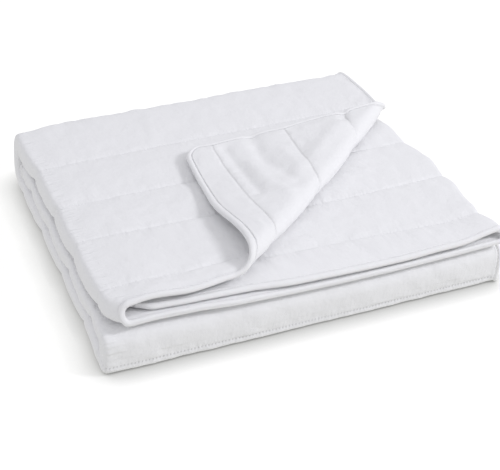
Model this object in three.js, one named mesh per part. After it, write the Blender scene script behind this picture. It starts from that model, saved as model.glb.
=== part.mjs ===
// Summer duvet: a thin quilted duvet with a piped edge, folded in three across and then in three
// from front to back, with the front corner of its top leaf turned back over itself.
// Millimetres, +Z up, the front towards -Y. The origin is at the middle of the underside.
import * as THREE from 'three';

// The flat duvet. "Across" runs from the free edge of the middle leaf to the free edge of the
// top leaf. "Along" runs from the front edge that shows to the end that is folded inside.
const SEAM_COUNT = 14;
const SEAM_PITCH = 145;
const BORDER = 60;
const FLAT_LENGTH = 2 * BORDER + (SEAM_COUNT - 1) * SEAM_PITCH;
const CORNER_RADIUS = 35;

// Half thicknesses of the filled cloth, and how far the filling thins out towards the edge.
const CROWN_HALF = 6.2;
const SEAM_HALF = 1.6;
const EDGE_HALF = 2.8;
const EDGE_TAPER = 25;
const CROWN_POWER = 2.2;

// The piping is a covered cord sewn along the edge.
const PIPING_RADIUS = 5.2;
const PIPING_SIDES = 6;
const PIPING_GAP = 0.7;

// The folded stack, in its own corner frame: X from the left side, Y from the front, Z from
// the surface that it lies on.
const LEAF_PITCH = 13.65;
const OUTER_HEIGHT = 2 * LEAF_PITCH;
const FRONT_Y = -9;
const BACK_Y = 666;
const EDGE_LINE_Y = 11;
const INNER_END_Y = 600;
const RIGHT_X = 737;
const MIDDLE_LEAF_SHORT = 28;

// Heights of the bottom leaf in each panel. The top panel lies a little looser than the others.
const TOP_PANEL_Z = 90;
const TOP_LOOSENESS = 1.09;
const MIDDLE_PANEL_Z = 47.8;
const BOTTOM_PANEL_Z = 34.1;
const PRESSED_FLAT = 1.4;

// Side views of the two bends of the second fold: the inner reach, and how square they are.
const BACK_BEND = { reach: 22, upperPower: 4.5, lowerPower: 2.7 };
const FRONT_BEND = { reach: 7, upperPower: 3.3, lowerPower: 8.5 };

// The left loop of the first fold seen from the front: how square it is above and below.
// It is rounder by the front edge.
const LEFT_LOOP = { upperPower: 4, lowerPower: 3 };
const LOOP_FRONT = { power: 2.1, fade: 70 };

// The corner that is turned back rolls over the line between these two points of the top leaf.
const ROLL_START = new THREE.Vector2(250, 14);
const ROLL_END = new THREE.Vector2(701, 417);
const ROLL_RADIUS_START = 17;
const ROLL_RADIUS_END = 14.5;
const EAR_REST = 15;
const EAR_FALL = 120;

// Before it rolls, the corner is pulled in from the right and from the front. The pull grows
// to the right and forward of a line across the leaf.
const PULL = {
  fromRight: 62, fromFront: 13, startX: 230, endX: 735, lineY: 452,
  rightDepth: 440, frontDepth: 200, most: 1.2, power: 0.85,
};

// The cloth by the first seam has slid back where it goes over the roll.
const SLIDE = { back: 22, fromX: 230, fullX: 330, run: 400, seamY: 70, endY: 260 };

// A table has a row for each place and a named value in each column.
function table(columns, rows) {
  return rows.map((row) => Object.fromEntries(columns.map((name, k) => [name, row[k]])));
}

// Lengths of cloth across the duvet, in the order of the first fold.
const ACROSS = table(['stretch', 'length'], [
  ['middle leaf', 686],
  ['right loop', 23],
  ['bottom leaf', 696],
  ['left loop', 46],
  ['top leaf', 702],
]);

// Front edges of the top panel's leaves: how far each stands back, and how far it is lifted.
const FRONT_EDGES = table(
  ['x', 'bottomBack', 'bottomLift', 'middleBack', 'middleLift', 'topBack', 'topLift'],
  [
    [20, -4, 3, 12, 2, 9, 2],
    [90, -2, 4, 5, 1, 12, 7],
    [150, -4, 4, 1, 1, 10, 4],
    [240, -9, 2, 0, 0, 22, 5],
    [340, -8, 0, -8, 0, 22, 5],
    [520, -8, 0, -9, -1, 9, 0],
    [640, -8, 0, -6, 1, 9, 0],
    [735, -8, 1, 0, 9, 9, 0],
  ],
);
const EDGE_FADE = { back: 70, lift: 110 };

// How far the top leaf has slid from front to back, at places along it.
const TOP_LEAF_SLIDE = table(['along', 'back'], [
  [0, 0],
  [60, -6],
  [205, 7],
  [350, -14],
  [495, -12],
  [610, 0],
]);

// The free edge of the middle leaf is drawn back where it lies over the left loop.
const MIDDLE_DRAW = { along: 60, width: 60, back: 20, from: 480, to: 700 };

// The right-hand edge of the top leaf lifts a little.
const RIGHT_LIFT = { height: 5, from: 620, to: 735, fadeFrom: 450, fadeTo: 600 };

// The back bend isn't parallel to the front, at places across the stack.
const BACK_SKEW = table(['x', 'back'], [
  [0, 0],
  [150, 8],
  [350, 15],
  [735, 27],
]);

const SKEW_FADE = { from: 280, to: 660 };

// The back bend is fuller at the left, at places across the stack. The inner leaf has a share
// of this, and the top leaf all of it.
const BACK_FILL = table(['x', 'reach'], [
  [0, 23],
  [130, 27],
  [340, 15],
  [500, 15],
  [735, 3],
]);
const INNER_FILL = 0.8;

// The front sags between the corners under the weight of the turned corner.
const SAG = { share: 0.075, x: 480, width: 230, from: 60, to: 420 };

// Small helpers.
const clamp = THREE.MathUtils.clamp;

function smooth(from, to, value) {
  const t = clamp((value - from) / (to - from), 0, 1);
  return t * t * (3 - 2 * t);
}

function bell(value) {
  return Math.exp(-value * value);
}

function readTable(rows, key, column, place) {
  let k = 0;
  while (k < rows.length - 2 && place >= rows[k + 1][key]) k += 1;
  const t = smooth(rows[k][key], rows[k + 1][key], place);
  return rows[k][column] + (rows[k + 1][column] - rows[k][column]) * t;
}

function startsOf(rows) {
  const starts = [0];
  for (const row of rows) starts.push(starts.at(-1) + row.length);
  return starts;
}

function locate(starts, value) {
  let index = 0;
  while (index < starts.length - 2 && value >= starts[index + 1]) index += 1;
  const share = (value - starts[index]) / (starts[index + 1] - starts[index]);
  return { index, share };
}

function superellipse(angle, { upperPower, lowerPower }) {
  const power = Math.sin(angle) < 0 ? lowerPower : upperPower;
  const part = (value) => Math.sign(value) * Math.abs(value) ** (2 / power);
  return { out: part(Math.cos(angle)), up: part(Math.sin(angle)) };
}

// A bend is half a superellipse. Its angle is listed against the length of cloth on the
// outermost leaf, so that the cloth isn't stretched there.
function measureBend(bend, reach, rise, drop) {
  const STEPS = 2000;
  const angles = [];
  const lengths = [0];
  let last = null;
  for (let k = 0; k <= STEPS; k += 1) {
    const angle = Math.PI * (0.5 - k / STEPS);
    const { out, up } = superellipse(angle, bend);
    const point = new THREE.Vector2(reach * out, (up > 0 ? rise : drop) * up);
    if (last) lengths.push(lengths.at(-1) + point.distanceTo(last));
    angles.push(angle);
    last = point;
  }
  return { angles, lengths, total: lengths.at(-1) };
}

function angleAt(measured, length) {
  const { angles, lengths } = measured;
  let low = 0;
  let high = lengths.length - 1;
  while (high - low > 1) {
    const middle = Math.floor((low + high) / 2);
    if (lengths[middle] <= length) low = middle;
    else high = middle;
  }
  const t = clamp((length - lengths[low]) / (lengths[high] - lengths[low]), 0, 1);
  return angles[low] + (angles[high] - angles[low]) * t;
}

// Bend middles, and the rise and drop of the bottom leaf from them.
const BACK_MIDDLE_Z = (TOP_PANEL_Z + BOTTOM_PANEL_Z) / 2;
const BACK_RISE = TOP_PANEL_Z - BACK_MIDDLE_Z;
const FRONT_MIDDLE_Z = (BOTTOM_PANEL_Z + MIDDLE_PANEL_Z) / 2;
const FRONT_RISE = MIDDLE_PANEL_Z - FRONT_MIDDLE_Z;
const backMeasured = measureBend(
  BACK_BEND,
  BACK_BEND.reach + OUTER_HEIGHT,
  BACK_RISE + TOP_LOOSENESS * OUTER_HEIGHT,
  BACK_RISE + OUTER_HEIGHT,
);
const frontMeasured = measureBend(
  FRONT_BEND,
  FRONT_BEND.reach + OUTER_HEIGHT,
  FRONT_RISE + OUTER_HEIGHT,
  FRONT_RISE + OUTER_HEIGHT,
);
const loopMeasured = measureBend(LEFT_LOOP, LEAF_PITCH, LEAF_PITCH, LEAF_PITCH);
const BACK_LINE_Y = BACK_Y - (BACK_BEND.reach + OUTER_HEIGHT + CROWN_HALF);
const FRONT_LINE_Y = FRONT_Y + (FRONT_BEND.reach + OUTER_HEIGHT + CROWN_HALF);
const BOTTOM_SLACK = 0.938;

// Lengths of cloth along the duvet, in the order of the second fold.
const ALONG = table(['stretch', 'length'], [
  ['top panel', BACK_LINE_Y - EDGE_LINE_Y],
  ['back bend', backMeasured.total],
  ['bottom panel', (BACK_LINE_Y - FRONT_LINE_Y) * BOTTOM_SLACK],
  ['front bend', frontMeasured.total],
]);
ALONG.push({ stretch: 'middle panel', length: FLAT_LENGTH - startsOf(ALONG).at(-1) });

const acrossStarts = startsOf(ACROSS);
const alongStarts = startsOf(ALONG);
const FLAT_WIDTH = acrossStarts.at(-1);
const [, BACK_BEND_START, BACK_BEND_END, FRONT_BEND_START, FRONT_BEND_END] = alongStarts;

// The left side of the stack isn't straight: how far it stands in, at places along the duvet.
const LEFT_SIDE = table(['along', 'in'], [
  [0, 9],
  [450, 9],
  [590, 4],
  [BACK_BEND_START + 75, 3],
  [BACK_BEND_END, -2],
  [BACK_BEND_END + 100, -1],
  [FRONT_BEND_START - 60, 0],
  [FRONT_BEND_START, -4],
  [FRONT_BEND_START + 40, -5],
  [FRONT_BEND_START + 80, 0],
  [FRONT_BEND_END, 2],
  [FLAT_LENGTH, 2],
]);

// By the front edge the left side is tucked in further.
const LEFT_TUCK = { in: 26, fade: 20 };

// The left loop leans: its top stands in, and its bottom out, by this much.
const LEFT_LEAN = table(['along', 'lean'], [
  [0, 0],
  [60, 3],
  [450, 3],
  [590, 2],
  [BACK_BEND_START + 75, 0],
  [FLAT_LENGTH, 0],
]);
const LEAN_FADE = 70;

// The right side: where the right loop and the top leaf's edge stand from its line.
const RIGHT_SIDE = table(['along', 'loop', 'edge'], [
  [0, 0, -8],
  [110, -5, -8],
  [190, 5, -8],
  [250, 6, -8],
  [330, 0, -8],
  [400, -4, -5],
  [460, -12, -2],
  [560, -8, -1],
  [BACK_BEND_START, 0, -1],
  [BACK_BEND_END, -5, -8],
  [FLAT_LENGTH, -5, -8],
]);

// Each seam draws both sides in.
const SEAM_DRAW = { left: 2, right: 4 };

// Height of a channel's crown at a place along the duvet, from 0 on a seam to 1 half way.
function crown(along) {
  const turns = (along - BORDER) / SEAM_PITCH;
  const t = 2 * Math.abs(turns - Math.round(turns));
  return 1 - (1 - t) ** CROWN_POWER;
}

function halfThickness(across, along) {
  const fromEnds = Math.min(along, FLAT_LENGTH - along);
  const fromSides = Math.min(across, FLAT_WIDTH - across);
  const filled = fromEnds > BORDER ? crown(along) : smooth(0, BORDER / 2, BORDER - fromEnds);
  const channel = SEAM_HALF + (CROWN_HALF - SEAM_HALF) * filled;
  const fromEdge = Math.max(Math.min(fromEnds, fromSides), 0);
  const border = EDGE_HALF + (CROWN_HALF - EDGE_HALF) * smooth(0, EDGE_TAPER, fromEdge);
  return Math.min(channel, border);
}

function leftSide(along) {
  const tuck = LEFT_TUCK.in * Math.exp(-Math.max(along, 0) / LEFT_TUCK.fade);
  return readTable(LEFT_SIDE, 'along', 'in', along) + tuck + SEAM_DRAW.left * (1 - crown(along));
}

function rightSide(along, what) {
  return RIGHT_X + readTable(RIGHT_SIDE, 'along', what, along) - SEAM_DRAW.right * (1 - crown(along));
}

function loopAt(along) {
  const squareness = smooth(0, LOOP_FRONT.fade, along);
  const powerOf = (power) => LOOP_FRONT.power + (power - LOOP_FRONT.power) * squareness;
  return { upperPower: powerOf(LEFT_LOOP.upperPower), lowerPower: powerOf(LEFT_LOOP.lowerPower) };
}

// First fold, across: gives X, the height in the pack of three leaves, and the stretch. The
// bottom and top leaves are joined by the left loop, round the free edge of the middle leaf.
function foldUpright(across, along, offset) {
  const left = leftSide(along);
  const small = LEAF_PITCH / 2;
  const { index, share } = locate(acrossStarts, across);
  const leftCentre = left + LEAF_PITCH;
  const rightCentre = rightSide(along, 'loop') - small;
  if (index === 0) {
    const start = left + MIDDLE_LEAF_SHORT;
    return { x: start + (rightCentre - start) * share, height: LEAF_PITCH + offset, index };
  }
  if (index === 1) {
    const angle = Math.PI * (0.5 - share);
    const radius = small + offset;
    return {
      x: rightCentre + radius * Math.cos(angle),
      height: small + radius * Math.sin(angle),
      index,
    };
  }
  if (index === 2) {
    return { x: rightCentre + (leftCentre - rightCentre) * share, height: -offset, index };
  }
  if (index === 3) {
    const { out, up } = superellipse(angleAt(loopMeasured, (1 - share) * loopMeasured.total), loopAt(along));
    const radius = LEAF_PITCH + offset;
    return { x: leftCentre - radius * out, height: LEAF_PITCH + radius * up, index };
  }
  const reach = rightSide(along, 'edge') - leftCentre;
  return { x: leftCentre + reach * share, height: OUTER_HEIGHT + offset, index };
}

// The lean is full in the left loop, and fades out over the leaves beside it.
function foldAcross(across, along, offset) {
  const { x, height, index } = foldUpright(across, along, offset);
  const tilt = clamp((height - LEAF_PITCH) / LEAF_PITCH, -1, 1);
  const near = index === 3 ? 1 : bell((x - leftSide(along) - LEAF_PITCH) / LEAN_FADE);
  return { x: x + readTable(LEFT_LEAN, 'along', 'lean', along) * tilt * near, height, index };
}

// Shares of the middle and top leaf in a loop, which blend the tables for the front edges.
function leafShares(index, height) {
  const t = clamp(height / OUTER_HEIGHT, 0, 1);
  const middle = [1, smooth(0, 0.5, t), 0, 0, 0][index];
  const top = [0, 0, 0, smooth(0, 1, t), 1][index];
  return { middle, top };
}

function frontEdge(x, index, height, what) {
  const { middle, top } = leafShares(index, height);
  const read = (leaf) => readTable(FRONT_EDGES, 'x', leaf + what, x);
  return read('bottom') * (1 - middle - top) + read('middle') * middle + read('top') * top;
}

// Second fold, along: gives Y and Z and the stretch.
function foldAlong({ x, height, index }, along) {
  const { index: panel, share } = locate(alongStarts, along);
  if (panel === 0) {
    const inside = Math.max(along, 0);
    const t = clamp(height / OUTER_HEIGHT, 0, 1);
    const { middle } = leafShares(index, height);
    const draw = MIDDLE_DRAW.back * bell((along - MIDDLE_DRAW.along) / MIDDLE_DRAW.width)
      * middle * (1 - smooth(MIDDLE_DRAW.from, MIDDLE_DRAW.to, x));
    const slide = smooth(0.6, 1, t) * readTable(TOP_LEAF_SLIDE, 'along', 'back', along);
    const back = frontEdge(x, index, height, 'Back') * Math.exp(-inside / EDGE_FADE.back);
    const lift = frontEdge(x, index, height, 'Lift') * Math.exp(-inside / EDGE_FADE.lift);
    const side = index === 4
      ? RIGHT_LIFT.height * smooth(RIGHT_LIFT.from, RIGHT_LIFT.to, x)
        * (1 - smooth(RIGHT_LIFT.fadeFrom, RIGHT_LIFT.fadeTo, along))
      : 0;
    return {
      y: EDGE_LINE_Y + (BACK_LINE_Y - EDGE_LINE_Y) * share + back + slide + draw,
      z: TOP_PANEL_Z + TOP_LOOSENESS * height + lift + side,
      panel,
    };
  }
  if (panel === 1) {
    const angle = angleAt(backMeasured, along - BACK_BEND_START);
    const { out, up } = superellipse(angle, BACK_BEND);
    const rise = BACK_RISE + (up > 0 ? TOP_LOOSENESS : 1) * height;
    const fullness = INNER_FILL + (1 - INNER_FILL) * (height / OUTER_HEIGHT);
    const reach = BACK_BEND.reach + readTable(BACK_FILL, 'x', 'reach', x) * fullness + height;
    return { y: BACK_LINE_Y + reach * out, z: BACK_MIDDLE_Z + rise * up, panel };
  }
  if (panel === 2) {
    return {
      y: BACK_LINE_Y + (FRONT_LINE_Y - BACK_LINE_Y) * share,
      z: BOTTOM_PANEL_Z - height,
      panel,
    };
  }
  if (panel === 3) {
    const angle = angleAt(frontMeasured, FRONT_BEND_END - along);
    const { out, up } = superellipse(angle, FRONT_BEND);
    const rise = FRONT_RISE + height;
    return { y: FRONT_LINE_Y - (FRONT_BEND.reach + height) * out, z: FRONT_MIDDLE_Z + rise * up, panel };
  }
  return {
    y: FRONT_LINE_Y + (INNER_END_Y - FRONT_LINE_Y) * share,
    z: MIDDLE_PANEL_Z + height,
    panel,
  };
}

// Turned corner.
const rollAlong = ROLL_END.clone().sub(ROLL_START).normalize();
const rollAway = new THREE.Vector2(rollAlong.y, -rollAlong.x);
const ROLL_LENGTH = ROLL_END.distanceTo(ROLL_START);

function firstSeamSlide(x, y) {
  const near = smooth(SLIDE.fromX, SLIDE.fullX, x) - clamp((x - SLIDE.fullX) / SLIDE.run, 0, 1);
  return SLIDE.back * near * smooth(0, SLIDE.seamY, y) * (1 - smooth(SLIDE.seamY, SLIDE.endY, y));
}

function pullCorner(x, y) {
  const share = smooth(PULL.startX, PULL.endX, x);
  const ahead = PULL.lineY - y;
  const slid = y + firstSeamSlide(x, y);
  return new THREE.Vector2(
    x - PULL.fromRight * share * clamp(ahead / PULL.rightDepth, 0, PULL.most) ** PULL.power,
    slid - PULL.fromFront * share * clamp(ahead / PULL.frontDepth, 0, 1),
  );
}

// Where a point of the top leaf lies on the roll: the distance past the roll's start line, and
// the radius there.
function rollPlace(x, y) {
  const pulled = pullCorner(x, y);
  const from = pulled.clone().sub(ROLL_START);
  const down = from.dot(rollAlong);
  const growth = clamp(down / ROLL_LENGTH, 0, 1);
  const radius = ROLL_RADIUS_START + (ROLL_RADIUS_END - ROLL_RADIUS_START) * growth;
  const past = from.dot(rollAway) + radius + CROWN_HALF;
  return { pulled, down, radius, past };
}

function turnCorner({ x, y, z }, offset) {
  const { pulled, down, radius, past } = rollPlace(x, y);
  if (past < 0) return new THREE.Vector3(pulled.x, pulled.y, z);
  const base = z - offset * TOP_LOOSENESS;
  const angle = Math.min(past / radius, Math.PI);
  const beyond = Math.max(past - Math.PI * radius, 0);
  const out = Math.sin(angle) * (radius - offset) - beyond;
  const fall = bell(beyond / EAR_FALL);
  const lift = EAR_REST + (2 * radius - EAR_REST) * fall;
  const height = beyond > 0
    ? base + lift - offset
    : base + radius - Math.cos(angle) * (radius - offset);
  const away = out - radius - CROWN_HALF;
  return new THREE.Vector3(
    ROLL_START.x + away * rollAway.x + down * rollAlong.x,
    ROLL_START.y + away * rollAway.y + down * rollAlong.y,
    height,
  );
}

// The whole stack settles: the front sags, and the underside is pressed flat.
function settle(point) {
  const sag = SAG.share * bell((point.x - SAG.x) / SAG.width) * (1 - smooth(SAG.from, SAG.to, point.y));
  const skew = readTable(BACK_SKEW, 'x', 'back', point.x) * smooth(SKEW_FADE.from, SKEW_FADE.to, point.y);
  return new THREE.Vector3(
    point.x,
    point.y + skew,
    Math.max(point.z * (1 - sag) - PRESSED_FLAT, 0),
  );
}

// Place in the folded stack of a point of the flat duvet. The offset is its distance from the
// middle of the cloth, towards the face that shows on top.
function fold(across, along, offset) {
  const inPack = foldAcross(across, along, offset);
  const { y, z, panel } = foldAlong(inPack, along);
  const point = new THREE.Vector3(inPack.x, y, z);
  return settle(inPack.index === 4 && panel === 0 ? turnCorner(point, offset) : point);
}

// Distance past the roll's start, or null for points that aren't in the top leaf's top panel.
function pastRollStart([across, along]) {
  if (across < acrossStarts[4] || along > BACK_BEND_START) return null;
  const inPack = foldAcross(across, along, 0);
  const { y } = foldAlong(inPack, along);
  return rollPlace(inPack.x, y).past;
}

// Grid lines of the flat net, close together in the bends and at the edges. The channels that
// show have three lines each, and the others two, at these shares of the seam pitch.
const EDGE_LINES = [0, 14, CORNER_RADIUS];
const BEND_SHARES = [0, 0.17, 0.3, 0.42, 0.58, 0.7, 0.83, 1];
const SHOWN_CHANNEL = [0.17, 0.5, 0.83];
const HIDDEN_CHANNEL = [0.3, 0.7];
const LEAST_STEP = 9;
const MIDDLE_LEAF_START = 100;
const STEPS_ACROSS = { middleLeaf: 7, rightLoop: 4, bottomLeaf: 7, leftLoop: 4, topLeaf: 10 };

function spread(from, to, count) {
  return Array.from({ length: count + 1 }, (_, k) => from + ((to - from) * k) / count);
}

function acrossLines() {
  const [, rightLoop, bottomLeaf, leftLoop, topLeaf] = acrossStarts;
  return [
    ...EDGE_LINES,
    ...spread(MIDDLE_LEAF_START, rightLoop, STEPS_ACROSS.middleLeaf),
    ...spread(rightLoop, bottomLeaf, STEPS_ACROSS.rightLoop).slice(1),
    ...spread(bottomLeaf, leftLoop, STEPS_ACROSS.bottomLeaf).slice(1),
    ...spread(leftLoop, topLeaf, STEPS_ACROSS.leftLoop).slice(1),
    ...spread(topLeaf, FLAT_WIDTH - CORNER_RADIUS, STEPS_ACROSS.topLeaf).slice(1, -1),
    ...EDGE_LINES.map((step) => FLAT_WIDTH - step).reverse(),
  ];
}

// Seams come first, then the ends and the bends, then lines on the crowns of the channels.
function alongLines() {
  const seams = Array.from({ length: SEAM_COUNT }, (_, k) => BORDER + SEAM_PITCH * k);
  const ends = EDGE_LINES.flatMap((step) => [step, FLAT_LENGTH - step]);
  const bends = [[BACK_BEND_START, BACK_BEND_END], [FRONT_BEND_START, FRONT_BEND_END]]
    .flatMap(([from, to]) => BEND_SHARES.map((share) => from + (to - from) * share));
  const crowns = seams.slice(0, -1).flatMap((seam) => {
    const shares = seam < BACK_BEND_START - SEAM_PITCH ? SHOWN_CHANNEL : HIDDEN_CHANNEL;
    return shares.map((share) => seam + SEAM_PITCH * share);
  });
  const lines = [];
  for (const line of [...seams, ...ends, ...bends, ...crowns]) {
    if (lines.every((other) => Math.abs(other - line) >= LEAST_STEP)) lines.push(line);
  }
  return lines.sort((a, b) => a - b);
}

// The flat outline has round corners: the squares at its corners are drawn in to discs.
function roundCorner(across, along) {
  const centreAcross = clamp(across, CORNER_RADIUS, FLAT_WIDTH - CORNER_RADIUS);
  const centreAlong = clamp(along, CORNER_RADIUS, FLAT_LENGTH - CORNER_RADIUS);
  const a = across - centreAcross;
  const b = along - centreAlong;
  if (a === 0 || b === 0) return [across, along];
  const share = Math.max(Math.abs(a), Math.abs(b)) / Math.hypot(a, b);
  return [centreAcross + a * share, centreAlong + b * share];
}

function flatNet() {
  const columns = acrossLines();
  const rows = alongLines();
  const points = rows.flatMap((along) => columns.map((across) => roundCorner(across, along)));
  const faces = [];
  for (let r = 0; r + 1 < rows.length; r += 1) {
    for (let c = 0; c + 1 < columns.length; c += 1) {
      const a = r * columns.length + c;
      const [b, d] = [a + 1, a + columns.length];
      const e = d + 1;
      const middle = (columns[c] + columns[c + 1]) / 2;
      const rising = (middle < FLAT_WIDTH / 2) === (rows[r] < FLAT_LENGTH / 2);
      if (rising) faces.push([a, b, e], [a, e, d]);
      else faces.push([a, b, d], [b, e, d]);
    }
  }
  return { points, faces };
}

// Splits the net's triangles where a value on their corners passes a level.
function splitAlong(net, valueOf, level) {
  const SNAP = 1.5;
  const values = net.points.map((point) => {
    const value = valueOf(point);
    if (value === null) return null;
    return Math.abs(value - level) < SNAP ? 0 : value - level;
  });
  const cuts = new Map();
  const cutBetween = (a, b) => {
    if (values[a] === null || values[b] === null || values[a] * values[b] >= 0) return null;
    const key = a < b ? `${a}_${b}` : `${b}_${a}`;
    if (!cuts.has(key)) {
      const t = values[a] / (values[a] - values[b]);
      const [p, q] = [net.points[a], net.points[b]];
      cuts.set(key, net.points.length);
      net.points.push([p[0] + (q[0] - p[0]) * t, p[1] + (q[1] - p[1]) * t]);
    }
    return cuts.get(key);
  };
  net.faces = net.faces.flatMap(([a, b, c]) => {
    for (const [p, q, r] of [[a, b, c], [b, c, a], [c, a, b]]) {
      const first = cutBetween(p, q);
      const second = cutBetween(p, r);
      const third = cutBetween(q, r);
      if (first !== null && second !== null) return [[p, first, second], [first, q, r], [first, r, second]];
      if (first !== null && third === null) return [[p, first, r], [first, q, r]];
    }
    return [[a, b, c]];
  });
}

// The net's outline as a closed ring of point numbers, in the direction of its faces.
function outlineOf(net) {
  const next = new Map();
  const seen = new Set(net.faces.flatMap(([a, b, c]) => [`${a}_${b}`, `${b}_${c}`, `${c}_${a}`]));
  for (const side of seen) {
    const [a, b] = side.split('_').map(Number);
    if (!seen.has(`${b}_${a}`)) next.set(a, b);
  }
  const ring = [next.keys().next().value];
  while (next.get(ring.at(-1)) !== ring[0]) ring.push(next.get(ring.at(-1)));
  return ring;
}

function geometryOf(points, faces) {
  const geometry = new THREE.BufferGeometry();
  geometry.setAttribute('position', new THREE.Float32BufferAttribute(points.flatMap((p) => p.toArray()), 3));
  geometry.setIndex(faces.flat());
  geometry.computeVertexNormals();
  return geometry;
}

// The duvet: both faces of the net, offset by the filling, with a narrow wall round its edge.
function duvetGeometry(net, ring) {
  const count = net.points.length;
  const side = (sign) => net.points.map(([a, b]) => fold(a, b, sign * halfThickness(a, b)));
  const faces = net.faces.flatMap(([a, b, c]) => [[a, b, c], [a + count, c + count, b + count]]);
  ring.forEach((a, k) => {
    const b = ring[(k + 1) % ring.length];
    faces.push([a, a + count, b + count], [a, b + count, b]);
  });
  return geometryOf([...side(1), ...side(-1)], faces);
}

// The piping: a six-sided tube with a flat side towards the edge, in steps of the outline.
function pipingGeometry(net, ring) {
  const outline = ring.map((k) => new THREE.Vector2(...net.points[k]));
  const inner = PIPING_RADIUS * Math.cos(Math.PI / PIPING_SIDES);
  const points = outline.flatMap((point, k) => {
    const before = point.clone().sub(outline.at(k - 1)).normalize();
    const after = outline[(k + 1) % outline.length].clone().sub(point).normalize();
    const normal = new THREE.Vector2(before.y + after.y, -before.x - after.x).normalize();
    const mitre = normal.dot(new THREE.Vector2(before.y, -before.x));
    return spread(0, 2 * Math.PI, PIPING_SIDES).slice(1).map((turn) => {
      const angle = turn + Math.PI / PIPING_SIDES;
      const out = (PIPING_GAP + inner + PIPING_RADIUS * Math.cos(angle)) / mitre;
      const place = point.clone().addScaledVector(normal, out);
      return fold(place.x, place.y, PIPING_RADIUS * Math.sin(angle));
    });
  });
  const faces = [];
  const total = points.length;
  outline.forEach((_, k) => {
    for (let s = 0; s < PIPING_SIDES; s += 1) {
      const a = k * PIPING_SIDES + s;
      const b = k * PIPING_SIDES + ((s + 1) % PIPING_SIDES);
      const c = (a + PIPING_SIDES) % total;
      const d = (b + PIPING_SIDES) % total;
      faces.push([a, c, d], [a, d, b]);
    }
  });
  return geometryOf(points, faces);
}

const cotton = new THREE.MeshStandardMaterial({ color: 0xf3f3f5, roughness: 0.92, metalness: 0 });
const pipingCotton = new THREE.MeshStandardMaterial({ color: 0xefeff2, roughness: 0.88, metalness: 0 });

// Lines across the roll of the turned corner, in shares of half a turn, and two beyond it.
const ROLL_SHARES = [0, 0.17, 0.34, 0.5, 0.66, 0.83, 1];
const BEYOND_ROLL = [45, 110];
const rollTurn = (Math.PI * (ROLL_RADIUS_START + ROLL_RADIUS_END)) / 2;
const rollLevels = [...ROLL_SHARES.map((share) => share * rollTurn), ...BEYOND_ROLL.map((d) => rollTurn + d)];

const net = flatNet();
for (const level of rollLevels) splitAlong(net, pastRollStart, level);
const ring = outlineOf(net);

const duvet = new THREE.Mesh(duvetGeometry(net, ring), cotton);
duvet.name = 'duvet';
const piping = new THREE.Mesh(pipingGeometry(net, ring), pipingCotton);
piping.name = 'edge_piping';

// The stack's frame is moved so that the origin is at the middle of the underside.
const stack = new THREE.Group();
stack.add(duvet, piping);
const box = new THREE.Box3().setFromObject(stack);
const middle = box.getCenter(new THREE.Vector3());
stack.position.set(-middle.x, -middle.y, -box.min.z);

const part = new THREE.Group();
part.add(stack);
part.updateMatrixWorld(true);

export default part;
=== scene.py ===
# %% [markdown]
# This is a thin summer duvet, folded into a pack. It is two sheets of white cotton percale
# with a little filling between them, sewn through in straight channels and edged with piping.
# It is folded in three across, then in three from front to back, and the front corner of its
# top leaf is turned back over itself. We could shape the folded pack by hand, but the real
# thing is a flat piece that has been folded, so we do the same. We lay out a flat net, give it
# the thickness of the quilting, and send every point through one folding function.
# The frame holds the solids. We load it first and list its parts, and everything is fitted to it.

# %% Load the frame
import math

import bpy
import numpy as np
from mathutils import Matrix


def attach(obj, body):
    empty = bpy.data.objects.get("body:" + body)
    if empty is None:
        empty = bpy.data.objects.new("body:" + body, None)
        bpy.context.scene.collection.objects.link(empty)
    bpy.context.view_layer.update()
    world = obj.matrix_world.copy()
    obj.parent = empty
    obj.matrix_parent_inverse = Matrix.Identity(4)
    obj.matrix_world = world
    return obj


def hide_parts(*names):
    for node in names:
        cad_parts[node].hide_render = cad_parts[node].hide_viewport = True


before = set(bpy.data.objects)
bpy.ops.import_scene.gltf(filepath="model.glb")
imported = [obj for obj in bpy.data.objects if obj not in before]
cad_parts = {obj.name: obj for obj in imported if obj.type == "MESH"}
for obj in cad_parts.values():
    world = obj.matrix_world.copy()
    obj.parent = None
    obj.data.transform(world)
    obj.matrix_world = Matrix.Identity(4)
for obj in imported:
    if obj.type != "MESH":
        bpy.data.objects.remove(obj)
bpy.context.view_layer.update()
print("nodes:", sorted(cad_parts))

# %% [markdown]
# First come the sizes of the flat duvet. They are in millimetres, as in the solids, and are
# turned into metres when a mesh is made. "Across" runs from the free edge of the middle leaf to
# the free edge of the top leaf, and "along" runs from the front edge that shows to the end
# that is folded inside. The seams run across.

# %% Sizes of the flat duvet
MM = 0.001
SEAM_COUNT = 14
SEAM_PITCH = 145
BORDER = 60
FLAT_LENGTH = 2 * BORDER + (SEAM_COUNT - 1) * SEAM_PITCH
CORNER_RADIUS = 35
CROWN_HALF = 6.2
LEAF_PITCH = 13.65
OUTER_HEIGHT = 2 * LEAF_PITCH
PIPING_RADIUS = 5.2
SEAMS = BORDER + SEAM_PITCH * np.arange(SEAM_COUNT)
print("flat length:", FLAT_LENGTH, "mm, with seams from", SEAMS[0], "to", SEAMS[-1])

# %% [markdown]
# The folded pack isn't a neat block. Its leaves have slipped, the front sags and the left side
# leans, and small tables say by how much. A table has a row for each place, and we read it
# with a smooth step between the rows, so that the cloth has no kinks where a row is. The
# helpers work on whole arrays of points at once, which keeps a net of 100,000 points quick.

# %% Helpers for tables
def smooth(start, end, value):
    """Rises softly from 0 at start to 1 at end."""
    t = np.clip((value - start) / (end - start), 0, 1)
    return t * t * (3 - 2 * t)


def bell(value):
    """1 at nought, and falls away on both sides."""
    return np.exp(-value * value)


def table(columns, rows):
    """A dictionary with an array for each named column."""
    return dict(zip(columns, np.array(rows, float).T))


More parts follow.
